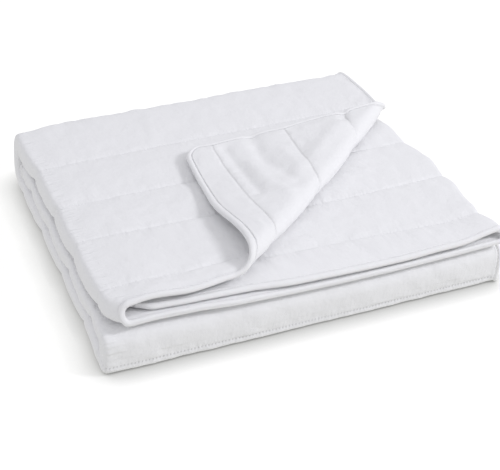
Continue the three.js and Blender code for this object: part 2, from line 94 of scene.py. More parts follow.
def read_table(rows, key, column, place):
    """The column's value at a place, with a smooth step between rows."""
    places = rows[key]
    k = np.clip(np.searchsorted(places, place, side="right") - 1, 0, len(places) - 2)
    t = smooth(places[k], places[k + 1], place)
    return rows[column][k] + (rows[column][k + 1] - rows[column][k]) * t


# %% Lengths of cloth across, and how the leaves lie
ACROSS_NAMES = ["middle leaf", "right loop", "bottom leaf", "left loop", "top leaf"]
ACROSS_LENGTHS = np.array([686, 23, 696, 46, 702], float)
ACROSS_STARTS = np.concatenate([[0], np.cumsum(ACROSS_LENGTHS)])
FLAT_WIDTH = ACROSS_STARTS[-1]
MIDDLE_LEAF, RIGHT_LOOP, BOTTOM_LEAF, LEFT_LOOP, TOP_LEAF = range(5)

FRONT_EDGES = table(
    ["x", "bottomBack", "bottomLift", "middleBack", "middleLift", "topBack", "topLift"],
    [
        [20, -4, 3, 12, 2, 9, 2],
        [90, -2, 4, 5, 1, 12, 7],
        [150, -4, 4, 1, 1, 10, 4],
        [240, -9, 2, 0, 0, 22, 5],
        [340, -8, 0, -8, 0, 22, 5],
        [520, -8, 0, -9, -1, 9, 0],
        [640, -8, 0, -6, 1, 9, 0],
        [735, -8, 1, 0, 9, 9, 0],
    ],
)
EDGE_FADE_BACK, EDGE_FADE_LIFT = 70, 110
TOP_LEAF_SLIDE = table(
    ["along", "back"],
    [[0, 0], [60, -6], [205, 7], [350, -14], [495, -12], [610, 0]],
)
BACK_SKEW = table(["x", "back"], [[0, 0], [150, 8], [350, 15], [735, 27]])
print("flat width:", FLAT_WIDTH, "mm in", dict(zip(ACROSS_NAMES, ACROSS_LENGTHS)))

# %% [markdown]
# The second fold goes over two bends. A bend seen from the side is half of a superellipse,
# which is squarer than a circle, because the pack's own weight presses it. We walk along it
# once in small steps and list the angle against the length of cloth, so that later a length
# gives an angle, and the outermost leaf isn't stretched.

# %% Heights of the panels and the two bends
TOP_PANEL_Z, MIDDLE_PANEL_Z, BOTTOM_PANEL_Z = 90, 47.8, 34.1
TOP_LOOSENESS = 1.09
PRESSED_FLAT = 1.4
BOTTOM_SLACK = 0.938
BACK_FILL = table(
    ["x", "reach"],
    [[0, 23], [130, 27], [340, 15], [500, 15], [735, 3]],
)
INNER_FILL = 0.8
FRONT_Y, BACK_Y, EDGE_LINE_Y, INNER_END_Y = -9, 666, 11, 600
RIGHT_X, MIDDLE_LEAF_SHORT = 737, 28
BACK_REACH, FRONT_REACH = 22, 7
BACK_POWERS = (4.5, 2.7)
FRONT_POWERS = (3.3, 8.5)
BACK_MIDDLE_Z = (TOP_PANEL_Z + BOTTOM_PANEL_Z) / 2
BACK_RISE = TOP_PANEL_Z - BACK_MIDDLE_Z
FRONT_MIDDLE_Z = (BOTTOM_PANEL_Z + MIDDLE_PANEL_Z) / 2
FRONT_RISE = MIDDLE_PANEL_Z - FRONT_MIDDLE_Z
BACK_LINE_Y = BACK_Y - (BACK_REACH + OUTER_HEIGHT + CROWN_HALF)
FRONT_LINE_Y = FRONT_Y + (FRONT_REACH + OUTER_HEIGHT + CROWN_HALF)


def superellipse(angle, powers):
    """How far out and up a bend is at an angle. Powers are for its upper and lower half."""
    power = np.where(np.sin(angle) < 0, powers[1], powers[0])
    out = np.sign(np.cos(angle)) * np.abs(np.cos(angle)) ** (2 / power)
    up = np.sign(np.sin(angle)) * np.abs(np.sin(angle)) ** (2 / power)
    return out, up


def measure_bend(powers, reach, rise, drop, steps=2000):
    """Angles round a bend and the lengths of cloth up to them."""
    angles = np.pi * (0.5 - np.arange(steps + 1) / steps)
    out, up = superellipse(angles, powers)
    y, z = reach * out, np.where(up > 0, rise, drop) * up
    lengths = np.concatenate([[0], np.cumsum(np.hypot(np.diff(y), np.diff(z)))])
    return angles, lengths


back_angles, back_lengths = measure_bend(
    BACK_POWERS,
    BACK_REACH + OUTER_HEIGHT,
    BACK_RISE + TOP_LOOSENESS * OUTER_HEIGHT,
    BACK_RISE + OUTER_HEIGHT,
)
front_angles, front_lengths = measure_bend(
    FRONT_POWERS,
    FRONT_REACH + OUTER_HEIGHT,
    FRONT_RISE + OUTER_HEIGHT,
    FRONT_RISE + OUTER_HEIGHT,
)
ALONG_LENGTHS = [
    BACK_LINE_Y - EDGE_LINE_Y,
    back_lengths[-1],
    (BACK_LINE_Y - FRONT_LINE_Y) * BOTTOM_SLACK,
    front_lengths[-1],
]
ALONG_LENGTHS.append(FLAT_LENGTH - sum(ALONG_LENGTHS))
ALONG_STARTS = np.concatenate([[0], np.cumsum(ALONG_LENGTHS)])
BACK_BEND_START, BACK_BEND_END, FRONT_BEND_START, FRONT_BEND_END = ALONG_STARTS[1:5]
print("cloth along, panel by panel:", [round(float(length)) for length in ALONG_LENGTHS])

# %% [markdown]
# The left side of the pack is a row of soft loops. One table says how far in each one stands
# along the duvet, and another how far the top leans to the right there. The table for the right
# has the inner loop and the top leaf's free edge. Each seam draws the cloth in on both sides,
# and by the front edge, where nothing presses on it, the left loop is rounder.

# %% The sides of the pack
LEFT_SIDE = table(
    ["along", "in"],
    [
        [0, 9],
        [450, 9],
        [590, 4],
        [BACK_BEND_START + 75, 3],
        [BACK_BEND_END, -2],
        [BACK_BEND_END + 100, -1],
        [FRONT_BEND_START - 60, 0],
        [FRONT_BEND_START, -4],
        [FRONT_BEND_START + 40, -5],
        [FRONT_BEND_START + 80, 0],
        [FRONT_BEND_END, 2],
        [FLAT_LENGTH, 2],
    ],
)
LEFT_TUCK, LEFT_TUCK_FADE = 26, 20
LEFT_LEAN = table(
    ["along", "lean"],
    [
        [0, 0],
        [60, 3],
        [450, 3],
        [590, 2],
        [BACK_BEND_START + 75, 0],
        [FLAT_LENGTH, 0],
    ],
)
LEAN_FADE = 70
RIGHT_SIDE = table(
    ["along", "loop", "edge"],
    [
        [0, 0, -8],
        [110, -5, -8],
        [190, 5, -8],
        [250, 6, -8],
        [330, 0, -8],
        [400, -4, -5],
        [460, -12, -2],
        [560, -8, -1],
        [BACK_BEND_START, 0, -1],
        [BACK_BEND_END, -5, -8],
        [FLAT_LENGTH, -5, -8],
    ],
)
LOOP_POWERS = (4.0, 3.0)
LOOP_FRONT_POWER, LOOP_FRONT_FADE = 2.1, 70
SEAM_DRAW_LEFT, SEAM_DRAW_RIGHT = 2, 4
DRAW_POWER = 2.2


def channels_from_seam(along):
    """How far the nearest seam is, in widths of a channel, so from 0 to a half."""
    turns = (along - BORDER) / SEAM_PITCH
    return np.abs(turns - np.round(turns))


def seam_nearness(along):
    """1 on a seam, falling to 0 half way to the next one."""
    return (1 - 2 * channels_from_seam(along)) ** DRAW_POWER


def left_side(along):
    tuck = LEFT_TUCK * np.exp(-np.maximum(along, 0) / LEFT_TUCK_FADE)
    return read_table(LEFT_SIDE, "along", "in", along) + tuck + SEAM_DRAW_LEFT * seam_nearness(along)


def right_side(along, what):
    """X of the right loop, or of the top leaf's edge."""
    return RIGHT_X + read_table(RIGHT_SIDE, "along", what, along) - SEAM_DRAW_RIGHT * seam_nearness(along)


loop_angles, loop_lengths = measure_bend(LOOP_POWERS, LEAF_PITCH, LEAF_PITCH, LEAF_PITCH)
print("left side from", round(float(left_side(np.array(0.0)))), "mm at the front edge")

# %% [markdown]
# The first fold lays the three leaves on each other. It takes a flat point with an offset,
# which is its distance from the middle of the cloth towards the face that shows on top, and
# gives its X, its height in the pack of leaves, and the stretch of cloth that it lies in. In
# a loop the offset changes the radius, so the outer sheet is longer than the inner one.

# %% First fold, across
def fold_across(across, along, offset):
    left, right, edge = left_side(along), right_side(along, "loop"), right_side(along, "edge")
    small = LEAF_PITCH / 2
    stretch = np.clip(np.searchsorted(ACROSS_STARTS, across, side="right") - 1, 0, 4)
    share = (across - ACROSS_STARTS[stretch]) / ACROSS_LENGTHS[stretch]
    left_centre, right_centre = left + LEAF_PITCH, right - small
    inner_end = left + MIDDLE_LEAF_SHORT
    right_turn = np.pi * (0.5 - share)
    left_turn = np.interp((1 - share) * loop_lengths[-1], loop_lengths, loop_angles)
    squareness = smooth(0, LOOP_FRONT_FADE, along)
    powers = [LOOP_FRONT_POWER + (power - LOOP_FRONT_POWER) * squareness for power in LOOP_POWERS]
    left_out, left_up = superellipse(left_turn, powers)
    stretches = [stretch == k for k in range(4)]
    x = np.select(
        stretches,
        [
            inner_end + (right_centre - inner_end) * share,
            right_centre + (small + offset) * np.cos(right_turn),
            right_centre + (left_centre - right_centre) * share,
            left_centre - (LEAF_PITCH + offset) * left_out,
        ],
        left_centre + (edge - left_centre) * share,
    )
    height = np.select(
        stretches,
        [
            LEAF_PITCH + offset,
            small + (small + offset) * np.sin(right_turn),
            -offset,
            LEAF_PITCH + (LEAF_PITCH + offset) * left_up,
        ],
        OUTER_HEIGHT + offset,
    )
    tilt = np.clip((height - LEAF_PITCH) / LEAF_PITCH, -1, 1)
    near_loop = np.where(stretch == LEFT_LOOP, 1, bell((x - left_centre) / LEAN_FADE))
    return x + read_table(LEFT_LEAN, "along", "lean", along) * tilt * near_loop, height, stretch


# %% [markdown]
# The second fold takes the pack of leaves through the top panel, over the back bend, along the
# underside, round the front bend and back inside. In the top panel the tables slide and lift
# each leaf's front edge.

# %% Second fold, along
MIDDLE_DRAW = {"along": 60, "width": 60, "back": 20, "start": 480, "end": 700}
RIGHT_LIFT = {"height": 5, "start": 620, "end": 735, "fade_start": 450, "fade_end": 600}
SLIDES_ABOVE = 0.6


def leaf_shares(stretch, height):
    """Shares of the middle and the top leaf, which blend their edges' tables in a loop."""
    t = np.clip(height / OUTER_HEIGHT, 0, 1)
    middle = np.where(stretch == MIDDLE_LEAF, 1, np.where(stretch == RIGHT_LOOP, smooth(0, 0.5, t), 0))
    top = np.where(stretch == TOP_LEAF, 1, np.where(stretch == LEFT_LOOP, smooth(0, 1, t), 0))
    return middle, top


def front_edge(x, shares, what):
    middle, top = shares
    read = [read_table(FRONT_EDGES, "x", leaf + what, x) for leaf in ("bottom", "middle", "top")]
    return read[0] * (1 - middle - top) + read[1] * middle + read[2] * top


def top_panel(x, height, stretch, along, share):
    inside = np.maximum(along, 0)
    shares = leaf_shares(stretch, height)
    draw = MIDDLE_DRAW["back"] * bell((along - MIDDLE_DRAW["along"]) / MIDDLE_DRAW["width"])
    draw = draw * shares[0] * (1 - smooth(MIDDLE_DRAW["start"], MIDDLE_DRAW["end"], x))
    raised = smooth(SLIDES_ABOVE, 1, np.clip(height / OUTER_HEIGHT, 0, 1))
    slide = raised * read_table(TOP_LEAF_SLIDE, "along", "back", along)
    back = front_edge(x, shares, "Back") * np.exp(-inside / EDGE_FADE_BACK)
    lift = front_edge(x, shares, "Lift") * np.exp(-inside / EDGE_FADE_LIFT)
    side = RIGHT_LIFT["height"] * smooth(RIGHT_LIFT["start"], RIGHT_LIFT["end"], x)
    side = side * (1 - smooth(RIGHT_LIFT["fade_start"], RIGHT_LIFT["fade_end"], along))
    y = EDGE_LINE_Y + (BACK_LINE_Y - EDGE_LINE_Y) * share + back + slide + draw
    return y, TOP_PANEL_Z + TOP_LOOSENESS * height + lift + np.where(stretch == TOP_LEAF, side, 0)


def back_bend(x, height, along):
    angle = np.interp(along - BACK_BEND_START, back_lengths, back_angles)
    out, up = superellipse(angle, BACK_POWERS)
    rise = BACK_RISE + np.where(up > 0, TOP_LOOSENESS, 1) * height
    fullness = INNER_FILL + (1 - INNER_FILL) * height / OUTER_HEIGHT
    reach = BACK_REACH + read_table(BACK_FILL, "x", "reach", x) * fullness + height
    return BACK_LINE_Y + reach * out, BACK_MIDDLE_Z + rise * up


def front_bend(height, along):
    angle = np.interp(FRONT_BEND_END - along, front_lengths, front_angles)
    out, up = superellipse(angle, FRONT_POWERS)
    return FRONT_LINE_Y - (FRONT_REACH + height) * out, FRONT_MIDDLE_Z + (FRONT_RISE + height) * up


def fold_along(x, height, stretch, along):
    panel = np.clip(np.searchsorted(ALONG_STARTS, along, side="right") - 1, 0, 4)
    share = (along - ALONG_STARTS[panel]) / np.array(ALONG_LENGTHS)[panel]
    top_y, top_z = top_panel(x, height, stretch, along, share)
    back_y, back_z = back_bend(x, height, along)
    front_y, front_z = front_bend(height, along)
    panels = [panel == k for k in range(4)]
    bottom_y = BACK_LINE_Y + (FRONT_LINE_Y - BACK_LINE_Y) * share
    middle_y = FRONT_LINE_Y + (INNER_END_Y - FRONT_LINE_Y) * share
    y = np.select(panels, [top_y, back_y, bottom_y, front_y], middle_y)
    z = np.select(panels, [top_z, back_z, BOTTOM_PANEL_Z - height, front_z], MIDDLE_PANEL_Z + height)
    return y, z, panel


# %% [markdown]
# The turned corner rolls over a line across the top leaf. A point past the line goes half way
# round a soft tube, and then lies back over the leaf with its other face up. Before that the
# corner is pulled in from the right and the front, as a hand that turns it would do, and the
# cloth by its first seam slides back over the roll.

# %% The turned corner
ROLL_START, ROLL_END = np.array([250.0, 14.0]), np.array([701.0, 417.0])
ROLL_RADIUS_START, ROLL_RADIUS_END = 17, 14.5
EAR_REST, EAR_FALL = 15, 120
PULL = {
    "right": 62,
    "front": 13,
    "start_x": 230,
    "end_x": 735,
    "line_y": 452,
    "right_depth": 440,
    "front_depth": 200,
    "most": 1.2,
    "power": 0.85,
}
SLIDE = {"back": 22, "start_x": 230, "full_x": 330, "run": 400, "seam_y": 70, "end_y": 260}
ROLL_LENGTH = np.linalg.norm(ROLL_END - ROLL_START)
roll_along = (ROLL_END - ROLL_START) / ROLL_LENGTH
roll_away = np.array([roll_along[1], -roll_along[0]])


def first_seam_slide(x, y):
    """How far back the cloth by the first seam has slid where it goes over the roll."""
    near = smooth(SLIDE["start_x"], SLIDE["full_x"], x)
    near = near - np.clip((x - SLIDE["full_x"]) / SLIDE["run"], 0, 1)
    rising = smooth(0, SLIDE["seam_y"], y)
    return SLIDE["back"] * near * rising * (1 - smooth(SLIDE["seam_y"], SLIDE["end_y"], y))


def pull_corner(x, y):
    share = smooth(PULL["start_x"], PULL["end_x"], x)
    ahead = PULL["line_y"] - y
    y = y + first_seam_slide(x, y)
    from_right = np.clip(ahead / PULL["right_depth"], 0, PULL["most"]) ** PULL["power"]
    from_front = np.clip(ahead / PULL["front_depth"], 0, 1)
    return x - PULL["right"] * share * from_right, y - PULL["front"] * share * from_front


def roll_place(x, y):
    """Where a point of the top leaf lies on the roll."""
    pulled_x, pulled_y = pull_corner(x, y)
    from_x, from_y = pulled_x - ROLL_START[0], pulled_y - ROLL_START[1]
    down = from_x * roll_along[0] + from_y * roll_along[1]
    share = np.clip(down / ROLL_LENGTH, 0, 1)
    radius = ROLL_RADIUS_START + (ROLL_RADIUS_END - ROLL_RADIUS_START) * share
    past = from_x * roll_away[0] + from_y * roll_away[1] + radius + CROWN_HALF
    return pulled_x, pulled_y, down, radius, past


def turn_corner(x, y, z, offset):
    pulled_x, pulled_y, down, radius, past = roll_place(x, y)
    base = z - offset * TOP_LOOSENESS
    angle = np.clip(past / radius, 0, np.pi)
    beyond = np.maximum(past - np.pi * radius, 0)
    away = np.sin(angle) * (radius - offset) - beyond - radius - CROWN_HALF
    turned_x = ROLL_START[0] + away * roll_away[0] + down * roll_along[0]
    turned_y = ROLL_START[1] + away * roll_away[1] + down * roll_along[1]
    lift = EAR_REST + (2 * radius - EAR_REST) * bell(beyond / EAR_FALL)
    rolled_z = base + radius - np.cos(angle) * (radius - offset)
    lain_z = base + lift - offset + wrinkle_height(EAR_WAVES, turned_x, turned_y)
    turned_z = np.where(beyond > 0, lain_z, rolled_z)
    flat = past < 0
    return (
        np.where(flat, pulled_x, turned_x),
        np.where(flat, pulled_y, turned_y),
        np.where(flat, z, turned_z),
    )


# %% [markdown]
# A folded duvet isn't smooth. The turned corner has broad waves where it was pulled, and the
# leaves have soft hollows. We place these one by one. Each is a line on the pack with a height, a
# width and soft ends, so a few rows describe a wrinkled cloth, and each one can be moved alone.

# %% Waves and wrinkles, placed one by one
WRINKLE_COLUMNS = ["x1", "y1", "x2", "y2", "rise", "width"]
EAR_WAVES = table(
    WRINKLE_COLUMNS,
    [
        [426, 425, 416, 352, -6.0, 15],
        [416, 330, 438, 240, -5.5, 15],
        [386, 330, 388, 275, 2.5, 11],
        [388, 245, 408, 205, 5.0, 14],
        [460, 350, 464, 290, 4.0, 13],
        [362, 405, 362, 230, -4.5, 9],
        [630, 432, 616, 408, -5.0, 9],
        [430, 240, 600, 392, 4.0, 16],
        [316, 122, 336, 92, 1.5, 6],
        [322, 60, 334, 42, 1.2, 6],
    ],
)
TOP_LEAF_WAVES = table(
    WRINKLE_COLUMNS,
    [
        [60, 360, 110, 352, -2.5, 14],
        [250, 520, 270, 600, 1.2, 9],
    ],
)
MIDDLE_LEAF_WAVES = table(WRINKLE_COLUMNS, [[520, 240, 590, 226, -1.0, 8]])


def wrinkle_height(rows, x, y):
    """The sum of the soft ridges and hollows at points of the pack."""
    total = np.zeros(np.broadcast(x, y).shape)
    for x1, y1, x2, y2, rise, width in zip(*(rows[name] for name in WRINKLE_COLUMNS)):
        line = np.array([x2 - x1, y2 - y1])
        length = np.linalg.norm(line)
        along = ((x - x1) * line[0] + (y - y1) * line[1]) / length
        aside = ((x - x1) * line[1] - (y - y1) * line[0]) / length
        past_end = np.maximum(np.maximum(-along, along - length), 0)
        total = total + rise * bell(np.hypot(aside, past_end) / width)
    return total


# %% [markdown]
# Last, the whole stack settles. The front sags under the turned corner, the back bend slants,
# and the underside is pressed flat on the surface. The settled point is the place in the pack,
# and the frame's origin is at the middle of the pack's underside.

# %% The whole folding function
SAG = {"share": 0.075, "x": 480, "width": 230, "start": 60, "end": 420}
SKEW_START, SKEW_END = 280, 660
STACK_MIDDLE = np.array([369.27, 346.73, 0.0])


def settle(x, y, z):
    sag = SAG["share"] * bell((x - SAG["x"]) / SAG["width"]) * (1 - smooth(SAG["start"], SAG["end"], y))
    skew = read_table(BACK_SKEW, "x", "back", x) * smooth(SKEW_START, SKEW_END, y)
    return np.stack([x, y + skew, np.maximum(z * (1 - sag) - PRESSED_FLAT, 0)], -1)


def fold(across, along, offset):
    """Places in the frame, in millimetres, of points of the flat duvet."""
    across, along, offset = np.broadcast_arrays(across, along, offset)
    x, height, stretch = fold_across(across, along, offset)
    y, z, panel = fold_along(x, height, stretch, along)
    on_top = panel == 0
    z = z + np.where(on_top & (stretch == TOP_LEAF), wrinkle_height(TOP_LEAF_WAVES, x, y), 0)
    z = z + np.where(on_top & (stretch == MIDDLE_LEAF), wrinkle_height(MIDDLE_LEAF_WAVES, x, y), 0)
    turned = np.stack(turn_corner(x, y, z, offset))
    x, y, z = np.where(on_top & (stretch == TOP_LEAF), turned, np.stack([x, y, z]))
    return settle(x, y, z) - STACK_MIDDLE


print("the middle of the cloth folds to", fold(FLAT_WIDTH / 2, FLAT_LENGTH / 2, 0.0).round(), "mm")

# %% [markdown]
# The quilting gives the cloth its relief. The filling swells each channel, and the seams, which
# the stitching has shortened a little, gather the cloth into small puckers. A formula gives the
# swelling but not the puckers, so we let Blender's cloth solver find both. A flat panel, as
# wide as a leaf and five channels long, is blown up by a light pressure while its sewn lines
# are pinned, and those lines are drawn together over the first frames.

# %% Simulate a quilted panel
PANEL_WIDTH = ACROSS_LENGTHS[TOP_LEAF]
PANEL_CHANNELS = 5
PANEL_LENGTH = BORDER + PANEL_CHANNELS * SEAM_PITCH
PANEL_STEP = 5.0
GATHER_ACROSS, GATHER_ALONG = 1.016, 1.004
SIMULATION_FRAMES = 22
GATHER_FRAMES = 10
START_SWELL, START_UNEVEN, START_SEED = 3.0, 0.8, 4


def add_object(name, data):
    """A new object, put into the scene."""
    made = bpy.data.objects.new(name, data)
    bpy.context.scene.collection.objects.link(made)
    return made


def panel_grid():
    """Flat places on the panel, and which of them are sewn down."""
    across = np.linspace(0, PANEL_WIDTH, round(PANEL_WIDTH / PANEL_STEP) + 1)
    along = np.linspace(0, PANEL_LENGTH, round(PANEL_LENGTH / PANEL_STEP) + 1)
    across, along = np.meshgrid(across, along)
    sewn = (along >= BORDER - 1) & (channels_from_seam(along) * SEAM_PITCH < PANEL_STEP / 2)
    sewn |= (along < 1) | (across < 1)
    return across, along, sewn


def uneven(shape, rng, rounds=2):
    """Seeded noise, smoothed over neighbours, to start the swelling unevenly."""
    noise = rng.normal(0, 1, shape)
    for _ in range(rounds):
        noise = sum(np.roll(noise, step, axis) for step in (-1, 1) for axis in (0, 1)) / 4
    return noise / noise.std()


def quilted_panel():
    """A mesh with the panel's start shape, whose sewn points a shape key draws together."""
    across, along, sewn = panel_grid()
    bumps = uneven(across.shape, np.random.default_rng(START_SEED))
    swell = START_SWELL * (1 - seam_nearness(along)) + START_UNEVEN * bumps
    flat = np.stack([across, along, np.where(sewn, 0, swell)], -1).reshape(-1, 3) * MM
    wide = flat * [GATHER_ACROSS, GATHER_ALONG, 1]
    number = np.arange(across.size).reshape(across.shape)
    corners = [number[:-1, :-1], number[:-1, 1:], number[1:, 1:], number[1:, :-1]]
    mesh = bpy.data.meshes.new("quilted_panel")
    mesh.from_pydata(wide.tolist(), [], np.stack(corners, -1).reshape(-1, 4).tolist())
    panel = add_object("quilted_panel", mesh)
    panel.shape_key_add(name="Basis")
    gathered = panel.shape_key_add(name="gathered")
    gathered.data.foreach_set("co", flat.ravel().astype(np.float32))
    group = panel.vertex_groups.new(name="sewn")
    group.add(number[sewn].tolist(), 1.0, "REPLACE")
    return panel, gathered, across.shape


def add_cloth(panel):
    cloth = panel.modifiers.new("swelling", "CLOTH")
    settings = cloth.settings
    settings.quality = 5
    settings.mass = 0.1
    settings.tension_stiffness = settings.compression_stiffness = 15
    settings.shear_stiffness = 3
    settings.bending_stiffness = 0.05
    settings.tension_damping = settings.compression_damping = settings.shear_damping = 5
    settings.vertex_group_mass = "sewn"
    settings.use_pressure = True
    settings.uniform_pressure_force = 5
    settings.effector_weights.gravity = 0
    cloth.point_cache.frame_start, cloth.point_cache.frame_end = 1, SIMULATION_FRAMES


def simulated_swelling():
    """Heights of the panel above its seams, in millimetres, on its grid."""
    panel, gathered, shape = quilted_panel()
    add_cloth(panel)
    for number in range(1, SIMULATION_FRAMES + 1):
        gathered.value = min(1, (number - 1) / GATHER_FRAMES)
        bpy.context.scene.frame_set(number)
    shown = panel.evaluated_get(bpy.context.evaluated_depsgraph_get())
    places = np.zeros(len(shown.data.vertices) * 3, np.float32)
    shown.data.vertices.foreach_get("co", places)
    bpy.data.objects.remove(panel)
    bpy.context.scene.frame_set(1)
    return places.reshape(*shape, 3)[..., 2].astype(float) / MM


heights = simulated_swelling()
print("panel of", heights.shape, "points swells to", round(float(heights.max()), 2), "mm")

# %% [markdown]
# The panel covers a leaf's width and five channels. The rest of the duvet repeats it in
# mirrored stretches, which meet on seams and so leave no step. From it comes the half
# thickness of the duvet at any flat point. Beside a seam we pinch the cloth a little more,
# because the thread pulls tighter than the solver's grid can show. Seeded noise adds what use
# adds, which is creases that run out from the seams and a filling that isn't even. Two rows of
# the pack are pressed thinner: the fold of the top leaf, and the corner on the floor in front.

# %% Thickness of the quilting
BASE_HALF = 1.5
MOST_HALF = 6.7
SEAM_PINCH, PINCH_WIDTH = 1.3, 3.3
EDGE_HALF, EDGE_TAPER = 3.4, 12
PUCKER_REACH, PUCKER_KEPT = 26, 0.45
PUCKER_ROUNDS, CROWN_ROUNDS = 1, 12
ENDS_LEFT_OUT = 10
FOLD_PRESS, FOLD_PRESS_WIDTH = 0.6, 24
FRONT_CORNER, FRONT_PRESS, FRONT_PRESS_WIDTH, PRESSED_HALF = 1347, 0.85, 12, 3.8
NOISE_CELLS = 211
CROWN_ROOM = 0.7
CREASE_SLANT = 0.25
EVERYWHERE = 900
# Each row is one kind of crease or lump: its pitch, its length, its rise, and how far it
# reaches from a seam.
RELIEF = [
    (13, 36, 0.5, 16),
    (21, 62, 0.65, 36),
    (33, 27, 0.55, EVERYWHERE),
    (64, 47, 0.7, EVERYWHERE),
]


def soften(field, rounds):
    """Averages each point with its neighbours, leaving the outermost points as they are."""
    field = field.copy()
    for _ in range(rounds):
        inner = field[:-2, 1:-1] + field[2:, 1:-1] + field[1:-1, :-2] + field[1:-1, 2:]
        field[1:-1, 1:-1] = (field[1:-1, 1:-1] + inner) / 5
    return field


def calm_crowns(field):
    """Keeps the puckers by the seams, and softens them towards the crowns."""
    from_seam = channels_from_seam(panel_grid()[1]) * SEAM_PITCH
    kept = PUCKER_KEPT + (1 - PUCKER_KEPT) * bell(from_seam / PUCKER_REACH)
    return soften(field, PUCKER_ROUNDS) * kept + soften(field, CROWN_ROUNDS) * (1 - kept)


calmed = calm_crowns(heights)
first_crown = calmed[round((BORDER + SEAM_PITCH / 2) / PANEL_STEP), ENDS_LEFT_OUT:-ENDS_LEFT_OUT]
swelling = calmed * (CROWN_HALF - CROWN_ROOM - BASE_HALF) / first_crown.mean()


def between(grid, rows, columns, down, over):
    """A grid's value between two of its rows and two of its columns, at shares of the way."""
    near, far = (grid[row, columns[0]] * (1 - over) + grid[row, columns[1]] * over for row in rows)
    return near * (1 - down) + far * down


def soft_noise(a, b, size_a, size_b, seed):
    """Seeded noise about 0, with hills and hollows of a size each way."""
    lattice = np.random.default_rng(seed).uniform(-1, 1, (NOISE_CELLS, NOISE_CELLS))
    column, row = a / size_a, b / size_b
    c, r = np.floor(column).astype(int), np.floor(row).astype(int)
    s, t = smooth(0, 1, column - c), smooth(0, 1, row - r)
    rows, columns = ((first % NOISE_CELLS, (first + 1) % NOISE_CELLS) for first in (r, c))
    return between(lattice, rows, columns, t, s)


def relief(across, along, from_seam):
    """Creases that run out from the seams, and the cloth's own unevenness, in millimetres."""
    slanted = across + CREASE_SLANT * along
    total = 0
    for pitch, length, rise, reach in RELIEF:
        noise = soft_noise(slanted, along, pitch, length, seed=pitch)
        total = total + rise * noise * bell(from_seam / reach)
    return total


def read_panel(across, along):
    """Swelling at places on the panel, between its grid points."""
    rows, columns = swelling.shape
    column = np.clip(across / PANEL_WIDTH * (columns - 1), 0, columns - 1.001)
    row = np.clip(along / PANEL_LENGTH * (rows - 1), 0, rows - 1.001)
    c, r = column.astype(int), row.astype(int)
    return between(swelling, (r, r + 1), (c, c + 1), row - r, column - c)


def edge_distance(across, along):
    """Distance in from the flat outline, whose corners are round."""
    from_side = np.minimum(across, FLAT_WIDTH - across)
    from_end = np.minimum(along, FLAT_LENGTH - along)
    corner = np.hypot(np.maximum(CORNER_RADIUS - from_side, 0), np.maximum(CORNER_RADIUS - from_end, 0))
    return np.where(corner > 0, CORNER_RADIUS - corner, np.minimum(from_side, from_end))


def half_thickness(across, along):
    from_side = np.minimum(across, FLAT_WIDTH - across)
    from_end = np.minimum(along, FLAT_LENGTH - along)
    panel_across = np.where(from_side > PANEL_WIDTH, 2 * PANEL_WIDTH - from_side, from_side)
    panel_along = np.where(from_end > PANEL_LENGTH, 2 * PANEL_LENGTH - from_end, from_end)
    from_seam = channels_from_seam(along) * SEAM_PITCH
    pinch = SEAM_PINCH * bell(from_seam / PINCH_WIDTH) * (from_end > BORDER / 2)
    uneven_part = relief(across, along, from_seam) * (1 - bell(from_seam / PINCH_WIDTH))
    half = BASE_HALF + read_panel(panel_across, panel_along) + uneven_part - pinch
    half = half * (1 - FOLD_PRESS * bell((across - ACROSS_STARTS[TOP_LEAF]) / FOLD_PRESS_WIDTH))
    on_floor = FRONT_PRESS * bell((along - FRONT_CORNER) / FRONT_PRESS_WIDTH)
    half = half + (PRESSED_HALF - half) * on_floor
    taper = smooth(0, EDGE_TAPER, edge_distance(across, along))
    return np.clip(EDGE_HALF + (half - EDGE_HALF) * taper, BASE_HALF - SEAM_PINCH, MOST_HALF)


print("crowns before scaling:", round(float(first_crown.mean()), 2), "mm")

# %% [markdown]
# A net of even small cells over the whole duvet would have 700,000 triangles, most of them
# between the leaves where nobody looks. So the lines of the net are close, but a hidden block
# of it uses only a few of them. A coarse cell still takes in every point that a finer
# neighbour uses on its border, so that the surface has no gaps.

# %% Lines of the flat net
SEAM_OFFSETS = [0, 1.3, 3, 6, 10]
EDGE_ZONE = 36
HIDDEN_PART = 280
LEAST_GAP = 0.9
ACROSS_STEPS = [3, 6, 6, 3, 12, 3, 5, 3]
BEND_STEP, EDGE_STEP, PLAIN_STEP = 3.2, 3.5, 5.2


def fill(keys, steps):
    """Lines at the keys, and even ones between each pair, no further apart than its step."""
    lines = [keys[0]]
    for start, end, step in zip(keys[:-1], keys[1:], steps):
        lines.extend(np.linspace(start, end, math.ceil((end - start) / step) + 1)[1:])
    return np.array(lines)


def without_close(places):
    """Sorted places, leaving out any that is too close to one earlier in the list."""
    kept = []
    for place in places:
        if all(abs(place - other) >= LEAST_GAP for other in kept):
            kept.append(place)
    return sorted(kept)


def along_step(start):
    """The widest gap between lines from a key on."""
    if FRONT_BEND_START <= start < FRONT_BEND_END:
        return BEND_STEP
    return EDGE_STEP if start < EDGE_ZONE else PLAIN_STEP


across_keys = [
    0,
    EDGE_ZONE,
    HIDDEN_PART,
    *ACROSS_STARTS[1:5],
    FLAT_WIDTH - EDGE_ZONE,
    FLAT_WIDTH,
]
across_lines = fill(across_keys, ACROSS_STEPS)
beside_seams = [seam + side * gap for gap in SEAM_OFFSETS for seam in SEAMS for side in (1, -1)]
along_keys = without_close([*ALONG_STARTS, 0, FLAT_LENGTH, *beside_seams])
along_lines = fill(along_keys, [along_step(start) for start in along_keys[:-1]])
print("net lines:", len(across_lines), "across,", len(along_lines), "along")


# %% Blocks of the net
FINE, HALF_FINE, MEDIUM, COARSE = 1, 8, 14, 32
ACROSS_ZONES = [0, HIDDEN_PART, *ACROSS_STARTS[1:5], FLAT_WIDTH]
ALONG_ZONES = [0, BORDER, *ALONG_STARTS[1:5], FLAT_LENGTH]
